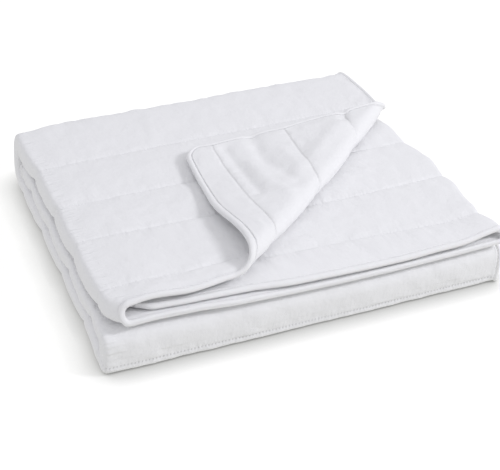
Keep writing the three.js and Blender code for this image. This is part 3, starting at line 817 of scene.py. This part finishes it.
# One row for each zone across, with a step for each zone along: the front border, the top
# panel, the back bend, the bottom panel, the front bend and the middle panel.
SHOWN_FACE = [
    [FINE, COARSE, MEDIUM, COARSE, MEDIUM, COARSE],
    [FINE, FINE, HALF_FINE, COARSE, MEDIUM, COARSE],
    [FINE, FINE, HALF_FINE, HALF_FINE, HALF_FINE, HALF_FINE],
    [HALF_FINE, COARSE, MEDIUM, COARSE, MEDIUM, COARSE],
    [FINE, FINE, FINE, FINE, FINE, FINE],
    [FINE, FINE, FINE, MEDIUM, FINE, COARSE],
]
INNER_FACE = [
    *[[HALF_FINE, *[COARSE] * 5]] * 4,
    [HALF_FINE] * 6,
    [FINE, FINE, *[COARSE] * 4],
]


def pick(lines, start, end, step, keep=()):
    """Numbers of the lines from start to end that are about a step apart."""
    inside = [k for k, line in enumerate(lines) if start - 1e-6 <= line <= end + 1e-6]
    picked = [inside[0]]
    for k in inside[1:-1]:
        kept = any(abs(lines[k] - place) < 1e-6 for place in keep)
        if kept or min(lines[k] - lines[picked[-1]], lines[inside[-1]] - lines[k]) >= step:
            picked.append(k)
    return [*picked, inside[-1]]


def blocks(steps):
    """Each block's columns and rows, as numbers of net lines."""
    for column, zone in enumerate(steps):
        for row, step in enumerate(zone):
            columns = pick(across_lines, *ACROSS_ZONES[column : column + 2], step)
            rows = pick(along_lines, *ALONG_ZONES[row : row + 2], step, keep=SEAMS)
            yield columns, rows


def used_points(steps):
    """Which crossings of the net lines a face uses. It uses all that are on the outline."""
    used = np.zeros((len(along_lines), len(across_lines)), bool)
    for columns, rows in blocks(steps):
        used[np.ix_(rows, columns)] = True
    used[[0, -1], :] = True
    used[:, [0, -1]] = True
    return used


def ring_round(near, far, left, right):
    """Crossings round a block of the net, from its first row and column."""
    ring = [(near, c) for c in range(left, right)]
    ring += [(r, right) for r in range(near, far)]
    ring += [(far, c) for c in range(right, left, -1)]
    ring += [(r, left) for r in range(far, near, -1)]
    return ring


def cells(steps, used):
    """Faces of the net as lists of crossings, with every used point on each cell's border."""
    for columns, rows in blocks(steps):
        for near, far in zip(rows[:-1], rows[1:]):
            for left, right in zip(columns[:-1], columns[1:]):
                yield [point for point in ring_round(near, far, left, right) if used[point]]


# %% [markdown]
# Now the duvet itself. Each face of the net is sent through the folding function with its
# half thickness as the offset, one towards the shown side and one away from it, and a narrow
# wall joins them round the outline. Every point keeps its flat place as a UV in metres, so
# that the weave follows the cloth round each fold.

# %% Round corners and the outline
def round_corners(across, along):
    """Draws the squares at the net's corners in to discs."""
    centre_across = np.clip(across, CORNER_RADIUS, FLAT_WIDTH - CORNER_RADIUS)
    centre_along = np.clip(along, CORNER_RADIUS, FLAT_LENGTH - CORNER_RADIUS)
    a, b = across - centre_across, along - centre_along
    reach = np.hypot(a, b)
    share = np.maximum(np.abs(a), np.abs(b)) / np.where(reach > 0, reach, 1)
    share = np.where((a != 0) & (b != 0), share, 1)
    return centre_across + a * share, centre_along + b * share


net_across, net_along = round_corners(*np.meshgrid(across_lines, along_lines))
outline = ring_round(0, len(along_lines) - 1, 0, len(across_lines) - 1)
print("outline of", len(outline), "points")


# %% Build the duvet
def mesh_from(name, points, faces, flat):
    """An object with smooth faces, whose UV map holds flat places in metres."""
    mesh = bpy.data.meshes.new(name)
    mesh.from_pydata((np.asarray(points) * MM).tolist(), [], faces)
    corner_points = np.zeros(len(mesh.loops), np.int32)
    mesh.loops.foreach_get("vertex_index", corner_points)
    uv = mesh.uv_layers.new(name="flat")
    uv.data.foreach_set("uv", (np.asarray(flat)[corner_points] * MM).ravel().astype(np.float32))
    mesh.shade_smooth()
    mesh.validate()
    return add_object(name, mesh)


def face_of_duvet(steps, side, first_number):
    """Points, flat places and faces of one side of the duvet, and the numbers of its points."""
    used = used_points(steps)
    numbers = np.full(used.shape, -1)
    numbers[used] = first_number + np.arange(used.sum())
    across, along = net_across[used], net_along[used]
    points = fold(across, along, side * half_thickness(across, along))
    faces = [[int(numbers[point]) for point in cell] for cell in cells(steps, used)]
    if side < 0:
        faces = [face[::-1] for face in faces]
    return points, np.stack([across, along], -1), faces, numbers


def build_duvet():
    points, flat, faces, shown = face_of_duvet(SHOWN_FACE, 1, 0)
    more_points, more_flat, more_faces, inner = face_of_duvet(INNER_FACE, -1, len(points))
    faces += more_faces
    for here, there in zip(outline, [*outline[1:], outline[0]]):
        faces.append([int(shown[here]), int(inner[here]), int(inner[there]), int(shown[there])])
    return mesh_from(
        "duvet_cloth",
        np.concatenate([points, more_points]),
        faces,
        np.concatenate([flat, more_flat]),
    )


duvet = build_duvet()
print("duvet:", len(duvet.data.vertices), "points,", len(duvet.data.polygons), "faces")

# %% [markdown]
# The piping is a cord in a strip of the same cotton, sewn on all round the edge. It is a tube
# round the flat outline, sent through the same folding function, so it turns every bend with
# the cloth. Its thickness varies a little, as a hand-fed strip's does.

# %% Build the piping
PIPING_SIDES = 10
PIPING_BITE = 0.5
PIPING_UNEVEN, PIPING_SEED, PIPING_ROUNDS = 0.12, 7, 4


def outline_normals(points):
    """For each point of a closed flat outline, the way out and how sharp the corner is."""
    before = points - np.roll(points, 1, 0)
    after = np.roll(points, -1, 0) - points
    before /= np.linalg.norm(before, axis=1, keepdims=True)
    after /= np.linalg.norm(after, axis=1, keepdims=True)
    turned = before + after
    normals = np.stack([turned[:, 1], -turned[:, 0]], -1)
    normals /= np.linalg.norm(normals, axis=1, keepdims=True)
    mitre = normals[:, 0] * before[:, 1] - normals[:, 1] * before[:, 0]
    return normals, mitre


def build_piping():
    rows, columns = np.array(outline).T
    points = np.stack([net_across[rows, columns], net_along[rows, columns]], -1)
    normals, mitre = outline_normals(points)
    lengths = np.cumsum(np.linalg.norm(points - np.roll(points, 1, 0), axis=1))
    wander = np.random.default_rng(PIPING_SEED).normal(0, 1, len(points))
    for _ in range(PIPING_ROUNDS):
        wander = (np.roll(wander, 1) + wander + np.roll(wander, -1)) / 3
    radius = (PIPING_RADIUS + PIPING_UNEVEN * wander / wander.std())[:, None]
    angle = 2 * np.pi * np.arange(PIPING_SIDES) / PIPING_SIDES
    out = (PIPING_RADIUS - PIPING_BITE + radius * np.cos(angle)) / mitre[:, None]
    places = points[:, None, :] + normals[:, None, :] * out[..., None]
    folded = fold(places[..., 0], places[..., 1], radius * np.sin(angle)).reshape(-1, 3)
    count = len(points)
    number = np.arange(count * PIPING_SIDES).reshape(count, PIPING_SIDES)
    ahead, beside = np.roll(number, -1, 0), np.roll(number, -1, 1)
    faces = np.stack([number, ahead, np.roll(ahead, -1, 1), beside], -1).reshape(-1, 4).tolist()
    around = np.broadcast_to(angle * PIPING_RADIUS, (count, PIPING_SIDES))
    flat = np.stack([np.broadcast_to(lengths[:, None], around.shape), around], -1).reshape(-1, 2)
    return mesh_from("piping_roll", folded, faces, flat)


piping = build_piping()
print("piping:", len(piping.data.polygons), "faces")

# %% [markdown]
# The stitches and the finishes are trees of nodes, and their sums are hard to read as links. So
# a small class wraps a socket, turns Python's operators into Math nodes, and adds any other
# node with its settings and inputs in one line.

# %% A socket that we can reckon with
class Knob:
    """A socket in a tree of nodes. Sums, differences and products of it add Math nodes."""

    def __init__(self, tree, socket=None):
        self.tree, self.socket = tree, socket

    def node(self, kind, settings=None, inputs=None, output=0):
        """Adds a node: first its settings, then the values or links of its sockets."""
        made = self.tree.nodes.new(kind)
        for name, value in (settings or {}).items():
            setattr(made, name, value)
        for name, value in (inputs or {}).items():
            if isinstance(value, Knob):
                self.tree.links.new(value.socket, made.inputs[name])
            else:
                made.inputs[name].default_value = value
        return Knob(self.tree, made.outputs[output] if made.outputs else None)

    def maths(self, operation, *values):
        return self.node("ShaderNodeMath", {"operation": operation}, dict(enumerate(values)))

    def __add__(self, other):
        return self.maths("ADD", self, other)

    def __sub__(self, other):
        return self.maths("SUBTRACT", self, other)

    def __mul__(self, other):
        return self.maths("MULTIPLY", self, other)

    def __rsub__(self, other):
        return self.maths("SUBTRACT", other, self)

    __radd__, __rmul__ = __add__, __mul__


# %% [markdown]
# The stitches come next. Lines of thread run along every seam, and one runs round the edge just
# inside the piping. There are thousands of stitches, so Geometry Nodes make them. We give it the
# sewn lines as a mesh of edges that lie on the cloth, with the way out of the cloth stored at
# each point. The tree walks along each line, sets a stitch at every step, and turns it to lie
# along the line and flat on the cloth. Lines between the leaves, which nobody sees, are left out.

# %% Lines of sewing
LINE_STEP = 5.0
EDGE_STITCH_IN = 2.0
THREAD_RAISED = 0.12
SEAM_ENDS_IN = 4.0
OUTWARD_STEP = 0.5


def on_cloth(across, along, side):
    """Points just above a face of the cloth, and the way out of it there."""
    half = half_thickness(across, along) + THREAD_RAISED
    points = fold(across, along, side * half)
    out = fold(across, along, side * (half + OUTWARD_STEP)) - points
    return points, out / np.maximum(np.linalg.norm(out, axis=1, keepdims=True), 1e-9)


def seam_line(seam, start, end, side):
    count = math.ceil((end - start) / LINE_STEP) + 1
    across = np.linspace(start, end, count)
    return on_cloth(across, np.full(count, float(seam)), side)


def edge_line(side):
    """The sewing inside the piping, along the free edges that show."""
    start, end = FLAT_WIDTH - EDGE_STITCH_IN, ACROSS_STARTS[LEFT_LOOP]
    turn = np.linspace(0, np.pi / 2, 9)
    radius = CORNER_RADIUS - EDGE_STITCH_IN
    corner = FLAT_WIDTH - CORNER_RADIUS + radius * np.cos(turn), CORNER_RADIUS - radius * np.sin(turn)
    down = np.arange(FLAT_LENGTH / 2, CORNER_RADIUS, -LINE_STEP)
    left = np.arange(FLAT_WIDTH - CORNER_RADIUS, end, -LINE_STEP)
    across = np.concatenate([np.full(len(down), start), corner[0], left])
    along = np.concatenate([down, corner[1], np.full(len(left), EDGE_STITCH_IN)])
    return on_cloth(across, along, side)


def sewn_lines():
    loop, end = ACROSS_STARTS[LEFT_LOOP], FLAT_WIDTH - SEAM_ENDS_IN
    for seam in SEAMS:
        yield seam_line(seam, loop, end, 1)
        if seam < BACK_BEND_START:
            yield seam_line(seam, HIDDEN_PART, ACROSS_STARTS[RIGHT_LOOP], 1)
            yield seam_line(seam, ACROSS_STARTS[TOP_LEAF] + LEFT_TUCK, end, -1)
    yield edge_line(1)
    yield edge_line(-1)


def lines_object():
    points, ways, edges = [], [], []
    for line, out in sewn_lines():
        first = sum(len(part) for part in points)
        edges += [(first + k, first + k + 1) for k in range(len(line) - 1)]
        points.append(line)
        ways.append(out)
    mesh = bpy.data.meshes.new("sewn_lines")
    mesh.from_pydata((np.concatenate(points) * MM).tolist(), edges, [])
    outward = mesh.attributes.new("outward", "FLOAT_VECTOR", "POINT")
    outward.data.foreach_set("vector", np.concatenate(ways).ravel().astype(np.float32))
    return add_object("quilting_stitches", mesh)


stitches = lines_object()
print("sewn lines:", len(stitches.data.edges), "edges")


# %% The tree that sets the stitches
STITCH_INPUTS = {
    "Lines": "Geometry",
    "Pitch": "Float",
    "Size": "Vector",
    "Unevenness": "Float",
    "Thread": "Material",
}
STITCH_SEED = 3


def uneven_size(start, unevenness):
    """A random scale for each stitch, about 1 in each direction."""
    chance = start.node("FunctionNodeRandomValue", {"data_type": "FLOAT_VECTOR"}, {"Seed": STITCH_SEED})
    kind = "ShaderNodeVectorMath"
    spread = start.node(kind, {"operation": "SUBTRACT"}, {0: chance, 1: (0.5, 0.5, 0.5)})
    spread = start.node(kind, {"operation": "SCALE"}, {0: spread, "Scale": unevenness})
    return start.node(kind, {"operation": "ADD"}, {0: spread, 1: (1, 1, 1)})


def stitch_tree():
    """Sets small rounded stitches along the edges of a mesh."""
    tree = bpy.data.node_groups.new("stitch_along_lines", "GeometryNodeTree")
    for name, kind in STITCH_INPUTS.items():
        tree.interface.new_socket(name, in_out="INPUT", socket_type="NodeSocket" + kind)
    tree.interface.new_socket("Stitches", in_out="OUTPUT", socket_type="NodeSocketGeometry")
    start = Knob(tree)
    given = {name: start.node("NodeGroupInput", output=name) for name in STITCH_INPUTS}
    curve = start.node("GeometryNodeMeshToCurve", inputs={"Mesh": given["Lines"]})
    walk = {"Curve": curve, "Length": given["Pitch"]}
    steps = start.node("GeometryNodeCurveToPoints", {"mode": "LENGTH"}, walk)
    tangent = Knob(tree, steps.socket.node.outputs["Tangent"])
    kept = "GeometryNodeInputNamedAttribute"
    outward = start.node(kept, {"data_type": "FLOAT_VECTOR"}, {"Name": "outward"}, output="Attribute")
    turn = "FunctionNodeAlignRotationToVector"
    stand = start.node(turn, {"axis": "Z"}, {"Vector": outward})
    lie = start.node(turn, {"axis": "X", "pivot_axis": "Z"}, {"Rotation": stand, "Vector": tangent})
    grain = start.node("GeometryNodeMeshIcoSphere", inputs={"Radius": 1, "Subdivisions": 1})
    shaped = start.node("GeometryNodeTransform", inputs={"Geometry": grain, "Scale": given["Size"]})
    scale = uneven_size(start, given["Unevenness"])
    placed = {"Points": steps, "Instance": shaped, "Rotation": lie, "Scale": scale}
    stitches = start.node("GeometryNodeInstanceOnPoints", inputs=placed)
    real = start.node("GeometryNodeRealizeInstances", inputs={0: stitches})
    painted = {"Geometry": real, "Material": given["Thread"]}
    start.node("NodeGroupOutput", inputs={0: start.node("GeometryNodeSetMaterial", inputs=painted)})
    return tree


# %% [markdown]
# Each finish starts from an empty material, and a function that gives it its surface.

# %% Start of a material
def new_material(name):
    """An empty material, its first knob, and a function that gives it its surface."""
    material = bpy.data.materials.new(name)
    material.use_nodes = True
    tree = material.node_tree
    tree.nodes.clear()
    start = Knob(tree)

    def finish(surface):
        shader = start.node("ShaderNodeBsdfPrincipled", inputs=surface)
        start.node("ShaderNodeOutputMaterial", inputs={"Surface": shader})
        return material

    return start, finish


# %% [markdown]
# Cotton percale is a plain weave of fine, matt threads. From a step away it reads as a smooth
# white with a soft sheen, and close to it has its weave, a little unevenness from the filling
# below, a dimple at each stitch, and fine creases by the seams and over the left-hand ridge. All
# these are small, so they are bumps, in millimetres, on the flat places that the UV map holds.
# Two kinds of seam get painted shade in their base colour: dashes of painted shade in the needle
# holes of the seam round the front fold, which the bend pulls open, and lines of painted shade
# in the deep grooves of the seams on the turned corner, where the cloth lies loose.

# %% Cotton of the duvet and of the piping
STITCH_PITCH = 6.0
WEAVE_PITCH = 0.7
WEAVE_HIGH = 0.03
SOFT_LUMPS, LUMP_DETAIL = ((26, 0.9), (60, 1.0), (170, 0.4)), 2.0
CREASE_DETAIL = 1.5
CREASE_PITCH, CREASE_LENGTH, CREASE_HIGH, CREASE_REACH = 8, 30, 1.3, 18
RIDGE_PITCH, RIDGE_LENGTH, RIDGE_HIGH, RIDGE_REACH = 7, 30, 2.6, 18
DIMPLE_HIGH, DIMPLE_WIDTH = 0.2, 2.2
FRONT_SEAM = SEAMS[9]
# Painted shade in the seams: its width, the strength of its dashes and lines, and its grey.
PAINTED_SHADE_WIDTH, PAINTED_DASH_SHADE, PAINTED_LINE_SHADE, PAINTED_SHADE_GREY = 1.8, 0.5, 0.3, (0.3, 0.3, 0.29, 1)
TURN_FROM, TURN_SLOPE, TURN_FADE = 1765, 1.16, 25
WHITE = (0.9, 0.9, 0.908)
PIPING_WHITE = (0.9, 0.9, 0.906)
PATCH_SCALE, PATCH_DETAIL, PATCH_DARKEST = 9.0, 3.0, 0.985
LEAST_ROUGHNESS, ROUGHNESS_SPREAD = 0.82, 0.12


def flat_place(start):
    """The piece's flat places in metres: the vector, and its two parts in millimetres."""
    place = start.node("ShaderNodeUVMap", {"uv_map": "flat"})
    apart = {"Vector": place}
    across = start.node("ShaderNodeSeparateXYZ", inputs=apart, output=0) * (1 / MM)
    along = start.node("ShaderNodeSeparateXYZ", inputs=apart, output=1) * (1 / MM)
    return place, across, along


def weave(start, across, along):
    """Threads over and under each other, from -1 to 1."""
    turn = 2 * math.pi / WEAVE_PITCH
    return start.maths("SINE", across * turn) * start.maths("SINE", along * turn)


def noise(start, place, scale, detail):
    """Soft noise on the flat places, from 0 to 1."""
    values = {"Vector": place, "Scale": scale, "Detail": detail}
    return start.node("ShaderNodeTexNoise", {"noise_dimensions": "2D"}, values)


def lumps(start, place):
    """Soft unevenness of the filling, in millimetres."""
    total = 0
    for scale, height in SOFT_LUMPS:
        total = noise(start, place, scale, LUMP_DETAIL) * height + total
    return total


def nearness(start, distance, reach):
    """1 where the distance is nought, and falling away on both sides."""
    ratio = distance * (1 / reach)
    return start.maths("EXPONENT", ratio * ratio * -1)


def seam_distance(start, along):
    """Distance from the nearest seam, in millimetres."""
    return start.maths("PINGPONG", along - BORDER, SEAM_PITCH / 2)


def stitch_wave(start, across):
    """1 in the middle of each stitch and 0 at its ends."""
    return start.maths("ABSOLUTE", start.maths("SINE", across * (math.pi / STITCH_PITCH)))


def creases(start, side, down, pitch, length):
    """Fine creases, a pitch apart sideways and a length long downwards, from 0 to 1."""
    drawn_out = {"X": side * (1 / pitch), "Y": down * (1 / length)}
    drawn_out = start.node("ShaderNodeCombineXYZ", inputs=drawn_out)
    return noise(start, drawn_out, 1.0, CREASE_DETAIL)


def painted_seam_shade(start, across, along):
    """Painted shade in the seams, from 0 to 1: dashes at the front fold, lines on the turned corner."""
    at_front = nearness(start, along - float(FRONT_SEAM), SEAM_PITCH / 2)
    dashes = at_front * (1 - stitch_wave(start, across)) * PAINTED_DASH_SHADE
    past_roll = across - TURN_FROM - (along - BORDER) * TURN_SLOPE
    turned = start.maths("MINIMUM", start.maths("MAXIMUM", past_roll * (1 / TURN_FADE), 0), 1)
    in_seam = nearness(start, seam_distance(start, along), PAINTED_SHADE_WIDTH)
    return in_seam * (dashes + turned * PAINTED_LINE_SHADE)


def gathers(start, across, along):
    """Dimples and creases by the seams, and creases over the left-hand ridge, in millimetres."""
    from_seam = seam_distance(start, along)
    from_ridge = across - float(ACROSS_STARTS[TOP_LEAF])
    dimples = nearness(start, from_seam, DIMPLE_WIDTH) * stitch_wave(start, across) * DIMPLE_HIGH
    by_seam = creases(start, across, along, CREASE_PITCH, CREASE_LENGTH)
    by_seam = by_seam * nearness(start, from_seam, CREASE_REACH) * CREASE_HIGH
    over_ridge = creases(start, along, across, RIDGE_PITCH, RIDGE_LENGTH)
    over_ridge = over_ridge * nearness(start, from_ridge, RIDGE_REACH) * RIDGE_HIGH
    return dimples + by_seam + over_ridge


def mixed(start, share, one, other):
    """A colour between two others."""
    return start.node("ShaderNodeMix", {"data_type": "RGBA"}, {0: share, 6: one, 7: other}, output=2)


def cotton(name, white, sewn):
    """A white cotton, with the marks of sewing in it if it is sewn."""
    start, finish = new_material(name)
    place, across, along = flat_place(start)
    height = weave(start, across, along) * WEAVE_HIGH + lumps(start, place)
    patches = noise(start, place, PATCH_SCALE, PATCH_DETAIL)
    tint = mixed(start, patches, (*(PATCH_DARKEST * part for part in white), 1), (*white, 1))
    if sewn:
        height = height + gathers(start, across, along)
        # Painted shade: a grey mixed into the base colour in the seams' holes and grooves.
        tint = mixed(start, painted_seam_shade(start, across, along), tint, PAINTED_SHADE_GREY)
    bump = start.node("ShaderNodeBump", inputs={"Height": height, "Distance": MM, "Strength": 1.0})
    return finish(
        {
            "Base Color": tint,
            "Roughness": patches * ROUGHNESS_SPREAD + LEAST_ROUGHNESS,
            "Specular IOR Level": 0.25,
            "Sheen Weight": 0.15,
            "Sheen Roughness": 0.5,
            "Normal": bump,
        }
    )


quilted_cotton = cotton("white_percale", WHITE, sewn=True)
piping_cotton = cotton("white_piping_strip", PIPING_WHITE, sewn=False)
duvet.data.materials.append(quilted_cotton)
piping.data.materials.append(piping_cotton)
print("materials:", quilted_cotton.name, "and", piping_cotton.name)

# %% [markdown]
# The thread is cotton too, and about as white as the cloth. It has a fine twist, which is a wave
# on Object coordinates, because the stitches have no UV map.

# %% Thread
THREAD_WHITE = (0.88, 0.88, 0.9, 1)
TWIST_SCALE = 900.0
STITCH_SIZE = (2.1 * MM, 0.42 * MM, 0.3 * MM)
STITCH_UNEVENNESS = 0.25


def thread_material():
    start, finish = new_material("quilting_thread")
    place = start.node("ShaderNodeTexCoord", output=3)
    wave = {"Vector": place, "Scale": TWIST_SCALE, "Distortion": 1.0}
    twist = start.node("ShaderNodeTexWave", inputs=wave, output=1)
    bump = start.node("ShaderNodeBump", inputs={"Height": twist, "Distance": 0.1 * MM, "Strength": 0.6})
    return finish({"Base Color": THREAD_WHITE, "Roughness": 0.7, "Sheen Weight": 0.1, "Normal": bump})


def sew(lines):
    """Runs the tree on the sewn lines and keeps the result as a plain mesh."""
    tree = stitch_tree()
    modifier = lines.modifiers.new("stitches", "NODES")
    modifier.node_group = tree
    values = {
        "Pitch": STITCH_PITCH * MM,
        "Size": STITCH_SIZE,
        "Unevenness": STITCH_UNEVENNESS,
        "Thread": thread_material(),
    }
    for item in tree.interface.items_tree:
        if item.name in values:
            modifier[item.identifier] = values[item.name]
    depsgraph = bpy.context.evaluated_depsgraph_get()
    mesh = bpy.data.meshes.new_from_object(lines.evaluated_get(depsgraph), depsgraph=depsgraph)
    lines.modifiers.clear()
    lines.data = mesh
    mesh.shade_smooth()


sew(stitches)
print("stitches:", len(stitches.data.polygons), "faces")

# %% [markdown]
# Everything rides on the one body, and stands for its solids. The solids of the duvet and of its
# piping are hidden.

# %% Attach each piece to the body, and hide the solids
for piece in (duvet, piping, stitches):
    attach(piece, "root")
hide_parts("duvet")
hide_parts("edge_piping")

# %% [markdown]
# The pack lies on a white studio floor. The floor is a little brighter than the cloth, so it
# also glows. Its colour and glow are darkened by a painted contact shadow, from an
# ambient-occlusion node, where the pack is close to it. What it throws back at the pack is set
# apart: to light that bounces onto the pack the floor is a painted glow of set strength, so that
# the front face can be lit without whitening the floor. The key light is a round area lamp at
# the right and in front, rather low, which lights the roll of the turned corner and throws the
# short shadow to its left. A pale sky fills the rest. It is brighter above than at the sides, and
# a little brighter on the left.

# %% Floor, light and camera
FLOOR_WIDE = 16.0
# The floor: its colour, its glow, the painted glow it sends onto the pack, and the reach and strength of
# its painted contact shadow.
FLOOR_WHITE, FLOOR_GLOW = 0.56, 0.62
FLOOR_BOUNCE_GLOW = 0.74
FLOOR_SHADE_REACH, FLOOR_SHADE = 0.055, 0.85
KEY_TOWARDS = (0.86, -0.5)
KEY_ELEVATION, KEY_AWAY, KEY_SIZE, KEY_POWER = 35, 5.5, 1.2, 109
KEY_TINT, SKY_TINT, BOUNCE_TINT = (1, 1, 1.04), (1, 1, 1.04), (1, 1, 0.97)
SKY_ABOVE, SKY_LEVEL, SKY_LEFT = 0.73, 0.5, 0.18
FRAME_WIDTH = 500
SENSOR = 36.0
FOCAL_PIXELS = 1185.3
CAMERA_PLACE = (-0.7051, -1.8284, 1.2462)
CAMERA_DOWN, CAMERA_TURN = 32.93, -21.64


def tinted(start, level, tint):
    """A colour of a brightness, with a tint."""
    parts = {number: level * part for number, part in enumerate(tint)}
    return start.node("ShaderNodeCombineColor", inputs=parts)


def add_floor():
    half = FLOOR_WIDE / 2
    corners = [(-half, -half, 0), (half, -half, 0), (half, half, 0), (-half, half, 0)]
    mesh = bpy.data.meshes.new("studio_floor")
    mesh.from_pydata(corners, [], [(0, 1, 2, 3)])
    floor = add_object("studio_floor", mesh)
    start, finish = new_material("pale_floor")
    # Painted contact shadow: the occlusion darkens the floor's colour and glow near the pack. Rays that
    # bounce off the floor see only a painted glow of set strength.
    bounced = start.node("ShaderNodeLightPath", output=2)
    shade = start.node("ShaderNodeAmbientOcclusion", inputs={"Distance": FLOOR_SHADE_REACH}, output=1)
    seen = (1 - bounced) * (shade * FLOOR_SHADE + (1 - FLOOR_SHADE))
    surface = {
        "Base Color": tinted(start, seen * FLOOR_WHITE, (1, 1, 1)),
        "Roughness": 0.95,
        "Specular IOR Level": 0.1,
        "Emission Color": tinted(start, seen * FLOOR_GLOW + bounced * FLOOR_BOUNCE_GLOW, BOUNCE_TINT),
        "Emission Strength": 1.0,
    }
    mesh.materials.append(finish(surface))


def add_key():
    lamp = bpy.data.lights.new("key", "AREA")
    lamp.shape = "DISK"
    lamp.size = KEY_SIZE
    lamp.energy = KEY_POWER
    lamp.color = KEY_TINT
    key = add_object("key", lamp)
    turn, rise = math.atan2(KEY_TOWARDS[1], KEY_TOWARDS[0]), math.radians(KEY_ELEVATION)
    level = KEY_AWAY * math.cos(rise)
    key.location = (level * math.cos(turn), level * math.sin(turn), KEY_AWAY * math.sin(rise))
    key.rotation_euler = (0, math.pi / 2 - rise, turn)


def add_sky():
    world = bpy.data.worlds.new("studio")
    world.use_nodes = True
    bpy.context.scene.world = world
    tree = world.node_tree
    tree.nodes.clear()
    start = Knob(tree)
    direction = start.node("ShaderNodeTexCoord", output=0)
    up = start.node("ShaderNodeSeparateXYZ", inputs={"Vector": direction}, output=2)
    left = start.node("ShaderNodeSeparateXYZ", inputs={"Vector": direction}, output=0) * -1
    strength = start.maths("MAXIMUM", up, 0.0) * (SKY_ABOVE - SKY_LEVEL) + SKY_LEVEL
    strength = start.maths("MAXIMUM", left, 0.0) * SKY_LEFT + strength
    light = start.node("ShaderNodeBackground", inputs={"Color": (*SKY_TINT, 1), "Strength": strength})
    start.node("ShaderNodeOutputWorld", inputs={"Surface": light})


def add_camera():
    data = bpy.data.cameras.new("camera")
    data.sensor_width = SENSOR
    data.sensor_fit = "HORIZONTAL"
    data.lens = FOCAL_PIXELS * SENSOR / FRAME_WIDTH
    camera = add_object("camera", data)
    camera.location = CAMERA_PLACE
    camera.rotation_euler = (math.radians(90 - CAMERA_DOWN), 0, math.radians(CAMERA_TURN))
    bpy.context.scene.camera = camera


add_floor()
add_key()
add_sky()
add_camera()
bpy.context.scene.view_settings.view_transform = "Standard"
